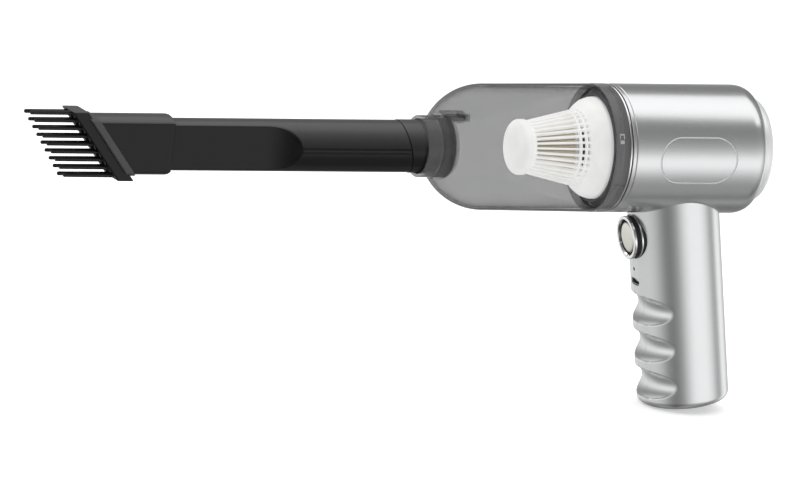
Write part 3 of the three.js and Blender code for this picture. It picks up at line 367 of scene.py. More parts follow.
class Finish:
    """A material built from nodes."""

    def __init__(self, name, tree=None):
        if tree is None:
            self.material = bpy.data.materials.new(name)
            self.material.use_nodes = True
            tree = self.material.node_tree
        self.tree = tree
        self.tree.nodes.clear()

    def add(self, kind, settings=None, sockets=None, output=0):
        """Adds a node of any kind and gives one of its outputs. Stops are (position, brightness)."""
        node = self.tree.nodes.new(kind)
        for key, value in (settings or {}).items():
            if key == "stops":
                ramp = node.color_ramp
                while len(ramp.elements) < len(value):
                    ramp.elements.new(0.5)
                for element, (position, grey) in zip(ramp.elements, value):
                    element.position = position
                    element.color = (grey, grey, grey, 1)
            else:
                setattr(node, key, value)
        for key, value in (sockets or {}).items():
            if isinstance(value, Wire):
                self.tree.links.new(value.socket, node.inputs[key])
            else:
                node.inputs[key].default_value = value
        return Wire(self, node.outputs[output]) if node.outputs else None

    def place(self):
        return self.add("ShaderNodeTexCoord", output="Object")

    def noise(self, size, detail, roughness=0.5, stretch=None):
        """Noise with features of about this size in millimetres, stretched along the axes if asked."""
        vector = self.place()
        if stretch:
            vector = self.add("ShaderNodeMapping", sockets={"Vector": vector, "Scale": stretch})
        sockets = {"Vector": vector, "Scale": 1 / (size * METRES), "Detail": detail, "Roughness": roughness}
        return self.add("ShaderNodeTexNoise", sockets=sockets, output="Fac")

    def part(self, vector, axis):
        """A vector's X, Y or Z."""
        return self.add("ShaderNodeSeparateXYZ", sockets={0: vector}, output=axis)

    def rise(self, value, start, end, top=1.0):
        """From 0 to top, as the value goes from start to end."""
        return self.add("ShaderNodeMapRange", sockets={0: value, 1: start, 2: end, 4: top})

    def ray(self, kind):
        return self.add("ShaderNodeLightPath", output=f"Is {kind} Ray")

    def mix(self, factor, first, second):
        """A colour between two, by a factor."""
        made = self.add("ShaderNodeMix", {"data_type": "RGBA"}, {0: factor}, output=2)
        node = made.socket.node
        for socket, colour in ((node.inputs[6], first), (node.inputs[7], second)):
            if isinstance(colour, Wire):
                self.tree.links.new(colour.socket, socket)
            else:
                socket.default_value = (*colour, 1)
        return made

    def shades(self, factor, colour, dark, light):
        """Between two shades of a colour, by a factor."""
        return self.mix(factor, shade(colour, dark), shade(colour, light))

    def ramp(self, factor, stops):
        """A grey that follows the stops."""
        return self.add("ShaderNodeValToRGB", {"stops": stops}, {0: factor})

    def relief(self, height, depth, strength):
        """A bump of this depth in millimetres from a height between 0 and 1."""
        sockets = {"Height": height, "Distance": depth * METRES, "Strength": strength}
        return self.add("ShaderNodeBump", sockets=sockets)

    def surface(self, **sockets):
        """The Principled shader, with its sockets named in plain words joined by underscores."""
        named = {
            "colour": "Base Color", "specular": "Specular IOR Level", "coat": "Coat Weight", "ior": "IOR",
            "glow": "Emission Color", "glow_strength": "Emission Strength",
        }
        values = {}
        for key, value in sockets.items():
            flat = key in ("colour", "glow") and not isinstance(value, Wire)
            socket = named.get(key, key.replace("_", " ").title())
            values[socket] = (*value, 1) if flat else value
        shader = self.add("ShaderNodeBsdfPrincipled", sockets=values)
        self.add("ShaderNodeOutputMaterial", sockets={"Surface": shader})
        return self.material


def painted_metal(name, colour, metallic, roughness):
    """Metallic paint: fine flakes under a thin lacquer, with the faint waviness of moulded plastic."""
    f = Finish(name)
    flakes = f.noise(0.12, 2, 0.7)
    cloud = f.noise(16, 3)
    rub = f.noise(3.2, 4, 0.6)
    return f.surface(
        colour=f.shades(flakes * 0.3 + cloud * 0.7, colour, 0.985, 1.015), metallic=metallic,
        roughness=roughness + (rub - 0.5) * 0.03, coat=0.1, coat_roughness=0.1,
        normal=f.relief(cloud, 0.008, 0.12),
    )


def moulded_plastic(name, colour, roughness, grain=0.35, depth=0.012, specular=0.5, glow=0.0, dust_and_top_light=None):
    """Moulded plastic with a fine spark-eroded grain and slightly uneven gloss, and perhaps a painted
    highlight: a paler colour on what faces upwards, standing in for light from above."""
    f = Finish(name)
    fine = f.noise(grain, 4, 0.6)
    cloud = f.noise(9, 3)
    tint = f.shades(cloud, colour, 0.9, 1.1)
    if dust_and_top_light:
        # Painted highlight: faces that turn upwards get a paler colour, standing in for light falling from
        # above.
        top_light_mask = f.part(f.add("ShaderNodeNewGeometry", output="Normal"), "Z")
        tint = f.mix(f.rise(top_light_mask, 0.1, 0.75), tint, dust_and_top_light)
    # glow is painted light: the plastic gives off light in its own colour, though it is no lamp.
    return f.surface(
        colour=tint, roughness=roughness + (cloud - 0.5) * 0.08 + (fine - 0.5) * 0.04,
        specular=specular, normal=f.relief(fine, depth, 0.6), glow=colour, glow_strength=glow,
    )


def polished_metal(name, colour, roughness, marks=0.4):
    """Plated metal, with hairline polishing marks."""
    f = Finish(name)
    hairs = f.noise(0.25, 3, 0.7, stretch=(12, 1, 1))
    cloud = f.noise(6, 3)
    return f.surface(
        colour=f.shades(cloud, colour, 0.95, 1.03), metallic=1.0,
        roughness=roughness + (hairs - 0.5) * 0.06, normal=f.relief(hairs, 0.002, marks),
    )


def clear_plastic(name, colour, facing, edge, behind, roughness=0.08):
    """Smoke-tinted clear plastic. It is denser seen edge-on, and denser in its further wall, which is painted
    shade that darkens the far wall more than the near one. Light passes through it to what is inside."""
    f = Finish(name)
    cloud = f.noise(22, 3)
    scuffs = f.noise(0.5, 5, 0.75)
    weight = f.add("ShaderNodeLayerWeight", sockets={"Blend": 0.5}, output="Facing")
    # The wall's inner skin lies nearer the cup's axis, or the dome's centre, than half-way through the wall.
    spot = f.place()
    x = f.part(spot, "X") - (DOME_START + BODY_PLACE.x) * METRES
    y = f.part(spot, "Y")
    z = f.part(spot, "Z") - BODY_PLACE.z * METRES
    ahead = f.add("ShaderNodeMath", {"operation": "MINIMUM"}, {0: x, 1: 0.0})
    off_centre = (ahead * ahead + y * y + z * z) ** 0.5
    half_way = (DOME_RADIUS - CUP_WALL / 2) * METRES
    inner = f.add("ShaderNodeMath", {"operation": "LESS_THAN"}, {0: off_centre, 1: half_way})
    back = f.add("ShaderNodeNewGeometry", output="Backfacing")
    # Painted shade: the further wall is made denser, and so darker, than the near wall of the same plastic.
    further = (inner - back) * (inner - back)
    plain = further * (behind - facing) + facing
    near_skin = (1 - inner) * (1 - back)
    rim = f.rise(weight, 0.66, 0.78, 0.75) * near_skin
    dense = (weight ** 6.0) * (edge - plain) + plain + rim + (cloud - 0.5) * 0.03
    passing = 1 - (f.ray("Shadow") + f.ray("Diffuse")) * 0.93
    return f.surface(
        colour=f.shades(cloud, colour, 0.9, 1.1), alpha=dense * passing,
        roughness=roughness + (scuffs - 0.5) * 0.06, ior=1.4, specular=0.3,
        normal=f.relief(scuffs, 0.002, 0.2),
    )


def pleated_paper(name, colour):
    """Filter paper: matted fibres and a little dust, unevenly spread."""
    f = Finish(name)
    fibres = f.noise(0.18, 5, 0.7, stretch=(0.4, 1, 1))
    dust_and_top_light = f.noise(5, 4, 0.6)
    tint = f.mix(fibres * 0.35, f.shades(dust_and_top_light, colour, 0.82, 1.08), shade(colour, 1.15))
    return f.surface(colour=tint, roughness=0.92, specular=0.2, normal=f.relief(fibres, 0.05, 0.8))


def soft_rubber(name, colour):
    """Rubber with a fine matt skin and a faint bloom."""
    f = Finish(name)
    fine = f.noise(0.3, 4, 0.65)
    bloom = f.noise(5, 3)
    return f.surface(
        colour=f.shades(bloom, colour, 1, 1.9), roughness=0.62 + (bloom - 0.5) * 0.15,
        specular=0.35, normal=f.relief(fine, 0.02, 0.6),
    )


def open_foam(name, colour):
    """Open-cell foam: pale webs, with painted shade darkening the open cells between them."""
    f = Finish(name)
    cells = f.add(
        "ShaderNodeTexVoronoi", {"feature": "DISTANCE_TO_EDGE"},
        {"Vector": f.place(), "Scale": 1400.0}, output="Distance",
    )
    web = f.ramp(cells, [(0.0, 1), (0.22, 0)])
    return f.surface(
        colour=f.shades(web, colour, 0.25, 1.6), roughness=0.95, specular=0.1,
        normal=f.relief(web, 0.4, 0.9),
    )


def circuit_board(name, colour):
    """Green solder mask over copper tracks, with small pads."""
    f = Finish(name)
    tracks = f.add(
        "ShaderNodeTexBrick", {"offset": 0.35},
        {"Vector": f.place(), "Scale": 260.0, "Mortar Size": 0.035, "Color1": (0, 0, 0, 1),
         "Color2": (0, 0, 0, 1), "Mortar": (1, 1, 1, 1)}, output="Fac",
    )
    pads = f.add("ShaderNodeTexVoronoi", {"feature": "F1"}, {"Vector": f.place(), "Scale": 420.0})
    spots = f.ramp(pads, [(0.16, 1), (0.2, 0)])
    tint = f.mix(spots, f.shades(tracks, colour, 1, 1.9), (0.55, 0.5, 0.42))
    return f.surface(colour=tint, roughness=0.42, coat=0.3, coat_roughness=0.2,
                     normal=f.relief(tracks, 0.03, 0.6))


def wound_copper(name, colour):
    """Enamelled wire wound close, seen as fine ridges, with painted shade darkening the creases between the
    turns.
    """
    f = Finish(name)
    ridges = f.add(
        "ShaderNodeTexWave", {"wave_type": "RINGS", "rings_direction": "X"},
        {"Vector": f.place(), "Scale": 420.0, "Distortion": 0.6}, output="Fac",
    )
    return f.surface(
        colour=f.shades(ridges, colour, 0.45, 1), metallic=0.9,
        roughness=0.38 + ridges * 0.1, normal=f.relief(ridges, 0.15, 0.8),
    )


def shrink_sleeve(name, colour):
    """Heat-shrunk film over a can: faint wrinkles and a satin gloss."""
    f = Finish(name)
    wrinkles = f.noise(2.5, 4, 0.6, stretch=(1, 1, 0.25))
    cloud = f.noise(12, 2)
    return f.surface(
        colour=f.shades(cloud, colour, 0.85, 1.12), roughness=0.32 + (cloud - 0.5) * 0.1,
        coat=0.4, coat_roughness=0.2, normal=f.relief(wrinkles, 0.06, 0.5),
    )


SILVER = painted_metal("silver_paint", (0.68, 0.685, 0.69), 0.88, 0.235)
PALE_SILVER = painted_metal("pale_silver_paint", (0.84, 0.845, 0.85), 0.35, 0.34)
CHROME = polished_metal("bright_plating", (0.86, 0.86, 0.85), 0.1)
BUTTON_METAL = polished_metal("button_face_metal", (0.70, 0.69, 0.63), 0.2, 0.25)
STEEL = polished_metal("turned_steel", (0.56, 0.57, 0.58), 0.3, 0.8)
SMOKE = clear_plastic("smoke_clear_plastic", (0.045, 0.045, 0.047), 0.07, 0.97, 0.5)
FLAP_CLEAR = clear_plastic("flap_clear_plastic", (0.2, 0.2, 0.203), 0.2, 1.0, 0.3, 0.2)
SNOUT_CLEAR = clear_plastic("snout_clear_plastic", (0.1, 0.1, 0.102), 0.5, 0.95, 0.6, 0.14)
DARK_CLEAR = clear_plastic("dark_clear_plastic", (0.17, 0.17, 0.173), 0.5, 0.9, 0.55, 0.14)
# The black plastic is painted paler on its upward faces, a painted highlight standing in for light from
# above.
BLACK = moulded_plastic("black_satin_plastic", (0.005, 0.005, 0.0053), 0.3, specular=0.25,
                        dust_and_top_light=(0.07, 0.07, 0.072))
BLACK_BRISTLE = moulded_plastic("black_tine_plastic", (0.008, 0.008, 0.0085), 0.42, 0.5, 0.01, 0.4)
GREY = moulded_plastic("dark_grey_plastic", (0.07, 0.071, 0.075), 0.45)
# The white filter plastic glows a little: painted light that keeps it bright inside the smoked cup.
WHITE = moulded_plastic("white_filter_plastic", (0.9, 0.9, 0.89), 0.42, 0.5, 0.008, 0.4, glow=0.2)
LIP = moulded_plastic("grained_lip_plastic", (0.06, 0.06, 0.061), 0.5, 0.8, 0.06, 0.4)
PAPER = pleated_paper("pleat_paper", (0.88, 0.82, 0.7))
RUBBER = soft_rubber("black_rubber", (0.012, 0.012, 0.012))
FOAM = open_foam("exhaust_foam_cells", (0.06, 0.06, 0.062))
COPPER = wound_copper("enamelled_windings", (0.72, 0.33, 0.14))
BOARD = circuit_board("circuit_board_green", (0.02, 0.11, 0.05))
SLEEVE = shrink_sleeve("cell_sleeve_blue", (0.03, 0.14, 0.36))
DARK_LIGHT = moulded_plastic("light_pipe_off", (0.02, 0.02, 0.02), 0.18, 0.4, 0.004)
MARK = moulded_plastic("lock_mark_print", (0.62, 0.62, 0.62), 0.45, 0.5, 0.004)


# ---- housing

def body_solid():
    """The round body, with a soft shoulder at its rear."""
    length, drop = 7.5, 3.7
    rear = arc(HOUSING_REAR - length, BODY_RADIUS - drop, length, drop, 90, 0, 14)
    front = rounded([(HOUSING_FRONT, 0), (HOUSING_FRONT, BODY_RADIUS, 0.5), rear[0]])[1:]
    rows = fine_rows(front[:-1] + rear, 2.2)
    return lathe([(HOUSING_FRONT, 0)] + rows + [(HOUSING_REAR, 0)], 240)


def soft_least(a, b, width):
    """The smaller of two values, with the change between them rounded."""
    h = max(width - abs(a - b), 0) / width
    return min(a, b) - h * h * width / 4


def grip_surface_radius(angle, depth):
    """Distance from the grip's axis to its skin, at an angle from the front and a depth down the grip."""
    radius = GRIP_RADIUS
    setback, sweep, groove = 15.0, 43.8, 9.0
    for middle in GROOVE_DEPTHS:
        off = depth - middle
        if abs(off) < groove:
            reach = sweep - sqrt(groove * groove - off * off)
            inside = reach * reach - (setback * sin(angle)) ** 2
            if inside > 0:
                found = -setback * cos(angle) + sqrt(inside)
                radius = soft_least(radius, found, 0.55)
    base = GRIP_LENGTH - 4
    if depth > base:
        radius = min(radius, GRIP_RADIUS - 4 + sqrt(max(0, 16 - (depth - base) ** 2)))
    return radius


def grip_solid():
    """The grip with its three finger grooves."""
    depths = [2.0 * k for k in range(37)]
    depths += [74 + 0.42 * k for k in range(1, 147)]
    depths += [GRIP_LENGTH - 4 + 4 * sin(radians(90 * k / 10)) for k in range(11)]
    depths = sorted(d for d in set(depths) if d <= GRIP_LENGTH)
    angles = []
    for k in range(288):
        t = k / 288
        angles.append(2 * pi * t - 0.55 * sin(2 * pi * t))
    loops = []
    for depth in depths:
        loop = []
        for angle in angles:
            r = grip_surface_radius(angle, depth)
            loop.append((-r * cos(angle), r * sin(angle), -depth))
        loops.append(loop)
    return loft(loops, ON_GRIP)


def stadium(half_width, half_height):
    """Outline of a slot with round ends, as (y, z)."""
    right = arc(half_width - half_height, 0, half_height, half_height, -90, 90, 12)
    return right + [(-y, -z) for y, z in right]


def slot_block(half_width, half_height, x0, x1, depth):
    """A solid slot with round ends, running across the grip at a depth down it."""
    outline = stadium(half_width, half_height)
    return loft([[(x, y, z - depth) for y, z in outline] for x in (x0, x1)], ON_GRIP)


def capsule_line(side, radius, sunk=0.0):
    """The capsule-shaped line on the body's side, as a bent tube."""
    centre, half_length, half_height, level = 1.2, 22.35, 12.25, 1.0
    middle = half_length - half_height
    line = []
    for way in (1, -1):
        end = centre + way * middle
        line += arc(end, 0, half_height, half_height, -90 * way, 180 - 90 * way, 32)
        line += [(end - way * 2 * middle * k / 10, way * half_height) for k in range(1, 10)]
    reach = BODY_RADIUS - sunk
    skin = [Vector((x, side * sqrt(reach ** 2 - (z + level) ** 2), z + level)) for x, z in line]
    count, sides = len(skin), 12
    points, faces = [], []
    for i, here in enumerate(skin):
        along = (skin[(i + 1) % count] - skin[i - 1]).normalized()
        out = Vector((0, here.y, here.z)).normalized()
        across = along.cross(out).normalized()
        for k in range(sides):
            a = 2 * pi * k / sides
            points.append(here + across * (radius * cos(a)) + out * (radius * sin(a)))
    for i in range(count):
        faces += band(i * sides, (i + 1) % count * sides, sides)
    return shape(points, faces)


def screw_rods(start, end, radius, sides=24):
    """A rod at each screw's place, between two distances across the body."""
    return together([rod((p.x, start, p.z), (p.x, end, p.z), radius, sides) for p in SCREW_PLACES])


def housing():
    """Both housing halves, hollow, with their posts, openings and recessed screw holes."""
    whole = join(body_solid(), grip_solid())
    skin = copied(whole)
    front, lip, cap_seat, cap_bore = HOUSING_FRONT - 1, HOUSING_FRONT + FRONT_LIP, 36.7, 28.7
    hollow = lathe([(front, 0), (front, 31), (lip, 31), (lip, BODY_BORE), (cap_seat, BODY_BORE),
                    (cap_seat, cap_bore), (HOUSING_REAR + 1, cap_bore), (HOUSING_REAR + 1, 0)], 96)
    # The grip is hollow down to its foot, and the hollow keeps further back beside the finger grooves.
    for bay_front, bay_end in ((-16.9, 75.0), (-12.0, 137.2)):
        bay = meet(rod((0, 0, -18), (0, 0, -bay_end), 22.4, 96), block(bay_front, 30, -30, 30, -150, 0))
        bay.data.transform(ON_GRIP)
        join(hollow, bay)
    carve(whole, hollow)
    join(whole, meet(screw_rods(-30.4, 30.4, 3.6), skin))
    outside, bay_wall = -40, -15.9
    for depth, radius in ((BUTTON_DEPTH, 12.05), (LIGHT_DEPTH, 1.0)):
        hole = rod((outside, 0, -depth), (bay_wall, 0, -depth), radius, 72)
        hole.data.transform(ON_GRIP)
        carve(whole, hole)
    carve(whole, slot_block(4.75, 1.9, outside, bay_wall, SOCKET_DEPTH))
    for side in (-1, 1):
        carve(whole, capsule_line(side, 0.45))
    left = meet(copied(whole), block(-200, 200, -200, -0.1, -200, 200))
    right = meet(whole, block(-200, 200, 0.1, 200, -200, 200))
    carve(left, screw_rods(-8, 5, 1.7))
    carve(right, screw_rods(-1, 12, 1.7))
    carve(right, screw_rods(SCREW_SEAT, 45, 3.0, 40))
    settle(left, "housing_shell_left", SILVER, "root", ["housing_left"])
    settle(right, "housing_shell_right", SILVER, "root", ["housing_right"])
    # Painted highlight: a thin pale strip lies in each capsule groove, standing in for the light caught along
    # the line.
    for side, name in ((-1, "capsule_painted_highlight_near"), (1, "capsule_painted_highlight_far")):
        settle(capsule_line(side, 0.3, 0.32), name, PALE_SILVER, "root")


def screws():
    """Pan-head screws with a cross recess."""
    for index, spot in enumerate(SCREW_PLACES):
        seat = SCREW_SEAT + GAP
        profile = [(seat - 14.3, 0), (seat - 14.3, 0.8), (seat - 12.8, 1.4), (seat, 1.4), (seat, 2.7)]
        profile += arc(seat + 0.9, 1.5, 1.1, 1.2, 90, 0, 8)[:-1] + [(seat + 2.0, 1.4), (seat + 2.0, 0)]
        to_y = Matrix.Translation((spot.x, 0, spot.z)) @ Matrix.Rotation(pi / 2, 4, "Z")
        screw = lathe(profile, 40, to_y)
        for wide, tall in ((1.5, 0.32), (0.32, 1.5)):
            carve(screw, block(spot.x - wide, spot.x + wide, seat + 0.9, seat + 3,
                               spot.z - tall, spot.z + tall))
        settle(screw, f"housing_screw_{index + 1}", STEEL, "root", [f"case_screw_{index + 1}"])


def rear_cap():
    """The rear cap with its round port and grille."""
    outer, rear, grille = 28.4, HOUSING_REAR + 6.8, HOUSING_REAR - 1.2
    round_edge = arc(HOUSING_REAR + 0.6, outer - 3.2, 6.2, 3.2, 90, 0, 14)
    profile = [
        (grille - 1.6, 0), (grille - 1.6, 19.3), (rear - 2.2, 19.3), (rear - 2.2, outer - 4.2),
        (HOUSING_REAR, outer - 2.2), (34.9, outer - 2.2), (34.9, BODY_BORE - GAP), (36.4, BODY_BORE - GAP),
        (36.4, outer), *round_edge, (rear, 18.1), (rear - 0.2, 17.65), (rear - 0.6, 17.5),
        (grille, 17.5), (grille, 0),
    ]
    cap = lathe(profile, 160)
    slots = []
    for k in range(12):
        turn = Matrix.Rotation(2 * pi * k / 12, 4, "X")
        outline = [(y, z + 10.9) for z, y in stadium(5.4, 1.3)]
        slots.append(loft([[(x, y, z) for y, z in outline] for x in (grille - 3, grille + 2)], turn))
    carve(cap, together(slots))
    settle(cap, "rear_cap_shell", PALE_SILVER, "root", ["rear_cap"])


def trim_ring():
    """The bright ring, a dark line and a painted collar between the body and the lock ring."""
    front, rear = TRIM_FRONT + 0.15, HOUSING_FRONT - 0.15
    line = front + 1.15
    ring = lathe(rounded([(front, 31), (front, 34.1, 0.35), (line, 34.1, 0.35), (line, 31)], 5), 240)
    settle(ring, "bright_trim_ring", CHROME, "root", ["trim_ring"])
    start, end = line + 0.02, line + 0.5
    groove = lathe([(start, 31), (start, 33.5), (end, 33.5), (end, 31)], 200)
    settle(groove, "trim_shadow_line", RUBBER, "root")
    start = line + 0.52
    collar = lathe(rounded([(start, 31), (start, 34.3, 0.3), (rear, 34.3, 0.2), (rear, 31)], 5), 240)
    settle(collar, "trim_painted_collar", SILVER, "root")


# ---- lock ring and front frame

def on_ring(angle, x, radius):
    """A point on a ring about the body axis. The angle is in degrees from the top towards the near side."""
    a = radians(angle)
    return Vector((x, -radius * sin(a), radius * cos(a)))


def ring_patch(x0, x1, start, end, inner, outer, steps):
    """A thin curved block on a ring, between two X places and two angles."""
    corners = ((x0, inner), (x1, inner), (x1, outer), (x0, outer))
    angles = [start + (end - start) * k / steps for k in range(steps + 1)]
    return loft([[on_ring(a, x, radius) for x, radius in corners] for a in angles])


def lock_ring():
    """The dark clear ring with its lugs, and the small marks on it."""
    rear, floor = TRIM_FRONT - 0.15, CUP_REAR + 3.5 + 1.6
    ring = lathe(rounded([
        (LOCK_FRONT, 33.3), (LOCK_FRONT, BODY_RADIUS, 0.7), (rear - 1.3, BODY_RADIUS, 0.2),
        (rear - 1.05, BODY_RADIUS - 0.35, 0.1), (rear - 0.8, BODY_RADIUS, 0.2), (rear, BODY_RADIUS, 0.5),
        (rear, 31), (floor, 31), (floor, 33.3),
    ], 5), 240)
    middle = TRIM_FRONT - 1.6
    lugs = [ring_patch(middle - 0.8, middle + 0.8, a - LUG_HALF, a + LUG_HALF, 29.9, 31.9, 8)
            for a in LUG_ANGLES]
    join(ring, together(lugs))
    carve(ring, ring_patch(LOCK_FRONT + 0.8, LOCK_FRONT + 7.0, 114.6, 115.5,
                           BODY_RADIUS - 0.3, BODY_RADIUS + 1, 2))
    settle(ring, "lock_ring_band", DARK_CLEAR, "lock_ring", ["lock_ring"])
    low, high = BODY_RADIUS - 0.12, BODY_RADIUS - 0.01
    x = LOCK_FRONT + 3.1
    bars = [ring_patch(x - 1.2, x + 1.2, 70.2, 73.4, low, high, 3)]
    for x0, x1, start, end in ((-1.5, 1.5, 64.3, 65.7), (-1.5, -1.0, 66.1, 69.0), (1.0, 1.5, 66.1, 69.0)):
        bars.append(ring_patch(x + x0, x + x1, start, end, low, high, 2))
    settle(together(bars), "lock_ring_mark", MARK, "lock_ring")
    tick = ring_patch(LOCK_FRONT + 1.0, LOCK_FRONT + 7.6, 111.5, 112.7, low, high, 3)
    settle(tick, "lock_ring_tick", RUBBER, "lock_ring")


def front_frame():
    """The dark frame that carries the filter and the lock ring."""
    frame_rear = HOUSING_FRONT + FRONT_LIP + GAP + 3
    seat, nose = -42.3, -46.6
    body = lathe(rounded([
        (frame_rear, 22), (frame_rear, 31.9), (frame_rear - 3, 31.9), (frame_rear - 3, SPIGOT_RADIUS),
        (seat - 1.2, SPIGOT_RADIUS, 0.5), (nose, 29.0, 0.3), (nose, 27.8, 0.2), (seat, 27.8),
        (seat, 23.5), (seat + 1.8, 23.5), (seat + 1.8, 28.2), (frame_rear - 2, 28.2), (frame_rear - 2, 22),
    ], 4), 160)
    tracks = [ring_patch(TRIM_FRONT - 2.7, TRIM_FRONT - 0.5, a - LUG_HALF - 20.6, a + LUG_HALF + 0.6,
                         29.6, 32, 12) for a in LUG_ANGLES]
    carve(body, together(tracks))
    for k in range(3):
        turn = Matrix.Rotation(pi * k / 3, 4, "X")
        join(body, block(frame_rear - 2, frame_rear, -0.8, 0.8, -22.5, 22.5, turn))
    settle(body, "front_frame_ring", GREY, "root", ["front_frame"])


# ---- dust cup and inlet flap

def dust_cup():
    """The see-through cup: a drafted tube, a domed front and the snout that holds the nozzle's cuff."""
    outer_angle = 180 - degrees(asin((SNOUT_RADIUS + 2.6) / DOME_RADIUS))
    inner = DOME_RADIUS - CUP_WALL
    inner_angle = 180 - degrees(asin((SNOUT_RADIUS + 1.6) / inner))
    dome = arc(DOME_START, 0, DOME_RADIUS, DOME_RADIUS, outer_angle, 90, 24)
    inside = arc(DOME_START, 0, inner, inner, 90, inner_angle, 24)
    outside = rounded([
        (SNOUT_MOUTH, SNOUT_BORE, 0.3), (SNOUT_MOUTH, SNOUT_RADIUS, 0.6),
        (dome[0][0] - 1.6, SNOUT_RADIUS, 2.6), dome[0],
    ], 8)[:-1]
    rear = rounded([
        dome[-1], (CUP_REAR, CUP_REAR_RADIUS, 0.25), (CUP_REAR, 33.0), (CUP_REAR + 3.5, 33.0, 0.3),
        (CUP_REAR + 3.5, 31.4, 0.3), (CUP_REAR - 1.5, 31.4), (CUP_REAR - 3, 32.3), inside[0],
    ], 4)[1:-1]
    throat = rounded([inside[-1], (SNOUT_INNER, inside[-1][1] - 1.2, 0.8), (SNOUT_INNER, SNOUT_BORE, 0.3),
                      (SNOUT_MOUTH, SNOUT_BORE)], 6)[1:-1]
    cup = lathe(outside + dome + rear + inside + throat, 240)
    ears = []
    for side in (-1, 1):
        near, far = sorted((side * 3.3, side * 5.3))
        ears.append(block(SNOUT_INNER - 2.6, FLAP_PIN[0] + 2.2, near, far, 14.8, 18.5, rounding=0.4))
    join(cup, together(ears))
    x, z = FLAP_PIN
    carve(cup, rod((x, -8, z), (x, 8, z), 1.1, 32))
    ends = (SNOUT_MOUTH - 1, 0, 0), (SNOUT_INNER + 1, 0, 0)
    snout = meet(copied(cup), rod(*ends, SNOUT_RADIUS, 240))
    carve(cup, rod(*ends, SNOUT_RADIUS + 0.05, 240))
    settle(cup, "dust_cup_shell", SMOKE, "dust_cup", ["dust_cup"], 24)
    settle(snout, "dust_cup_snout", SNOUT_CLEAR, "dust_cup")


def inlet_flap():
    """The flap that closes the inlet: a rimmed disc with a knuckle on the pin."""
    x, z = FLAP_PIN
    pad_front = SNOUT_INNER + GAP
    front = pad_front + 0.8 + GAP
    radius, flat = 15.6, 14.1
    plate = lathe(rounded([
        (front, 0), (front, radius, 0.3), (front + 1.1, radius, 0.3), (front + 1.1, 13.2, 0.2),
        (front + 0.8, 12.6, 0.2), (front + 0.8, 0),
    ], 4), 120)
    carve(plate, block(front - 4, front + 5, -radius, radius, flat, radius + 2))
    arm = block(front, x, -3, 3, z - 3.4, z - 0.6, rounding=0.3)
    join(join(plate, arm), rod((x, -3, z), (x, 3, z), 2.1, 40))
    carve(plate, rod((x, -6, z), (x, 6, z), 1.1, 32))
    settle(plate, "inlet_flap_plate", FLAP_CLEAR, "inlet_flap", ["inlet_flap"])
    pad = lathe(rounded([
        (pad_front, 0), (pad_front, 15.3, 0.25), (pad_front + 0.8, 15.3, 0.25), (pad_front + 0.8, 0),
    ], 4), 120)
    carve(pad, block(pad_front - 4, pad_front + 5, -16, 16, flat, 18))
    settle(pad, "inlet_flap_pad", FLAP_CLEAR, "inlet_flap", ["flap_pad"])
    pin = rod((x, -5.7, z), (x, 5.7, z), 0.8, 32, rounding=0.2)
    settle(pin, "inlet_flap_pin", STEEL, "dust_cup", ["flap_pin"])


# ---- filter

def rib_height(x):
    """Distance from the axis to the ribs' outer edges, rising evenly towards the bell."""
    low, high, start, run = 13.8, 20.9, -87, 31
    return low + (high - low) * (x - start) / run


def filter_cage():
    """The white cage: a domed cap, thin ribs, two hoops with small windows, and a flared bell."""
    dome = arc(-89.6, 8.2, 4.0, 6.7, 180, 90, 18)
    neck = rounded([dome[-1], (-86.8, 14.9, 1.2), (-85.8, 13.4, 0.5), (NECK_REAR, 13.2), (NECK_REAR, 0)], 4)
    cap = lathe([(FILTER_FRONT, 0)] + dome + neck[1:], 160)
    half, depth, chamfer, crest = 0.56, 2.4, 0.2, 0.252
    outline = [(-half, -depth), (half, -depth), (half, -chamfer), (crest, 0), (-crest, 0), (-half, -chamfer)]
    places = evenly(-86.0, BELL_FRONT + 1, 12) + [BELL_FRONT + 1]
    ribs = []
    for k in range(RIB_COUNT):
        turn = Matrix.Rotation(2 * pi * (k + 0.5) / RIB_COUNT, 4, "X")
        ribs.append(loft([[(x, y, rib_height(x) + z) for y, z in outline] for x in places], turn))
    cage = join(cap, together(ribs))
    hoops = []
    for x in (-62.0, -58.9):
        rear, outer = x + 1.1, rib_height(x) - 0.25
        hoops.append(lathe([(x, outer - 1.8), (x, outer), (rear, outer + 0.2), (rear, outer - 1.8)], 120))
    join(cage, together(hoops))
    bell = lathe(rounded([
        (BELL_FRONT, 17.6), (BELL_FRONT, 20.6, 0.5), (-54.9, 22.2, 0.8), (-53.4, 24.3, 1.2), (-51, 26.1, 2),
        (-48, 27.1, 2), (FLANGE_REAR, 27.4, 0.4), (FLANGE_REAR, 17.6), (FLANGE_FRONT, 17.6),
        (FLANGE_FRONT, 25.4), (-51.4, 23.8), (-54.2, 20.4), (-55.0, 17.6),
    ], 5), 200)
    join(cage, bell)
    settle(cage, "filter_cage", WHITE, "filter", ["filter_frame"], 32)


def filter_pleats():
    """The folded paper inside the ribs, as one closed sheet."""
    pleats, wall, fold_depth, largest = 60, 0.45, 2.3, 20.6
    places = evenly(NECK_REAR - 0.2, PLEAT_REAR, 8) + [PLEAT_REAR]
    points, faces = [], []
    count = pleats * 4
    for inset in (0.0, wall):
        for x in places:
            peak = min(rib_height(x), largest) - 2.75
            for i in range(count):
                fold = abs(((i / 4) % 1) * 2 - 1)
                radius = peak - inset - fold_depth * fold
                a = 2 * pi * i / count
                points.append((x, radius * cos(a), radius * sin(a)))
    rows = len(places)
    for first in (0, rows):
        for k in range(first, first + rows - 1):
            faces += band(k * count, (k + 1) * count, count)
    for k in (0, rows - 1):
        faces += band(k * count, (rows + k) * count, count)
    settle(shape(points, faces), "filter_pleats", PAPER, "filter", ["filter_element"], 40)


# ---- nozzle and brush

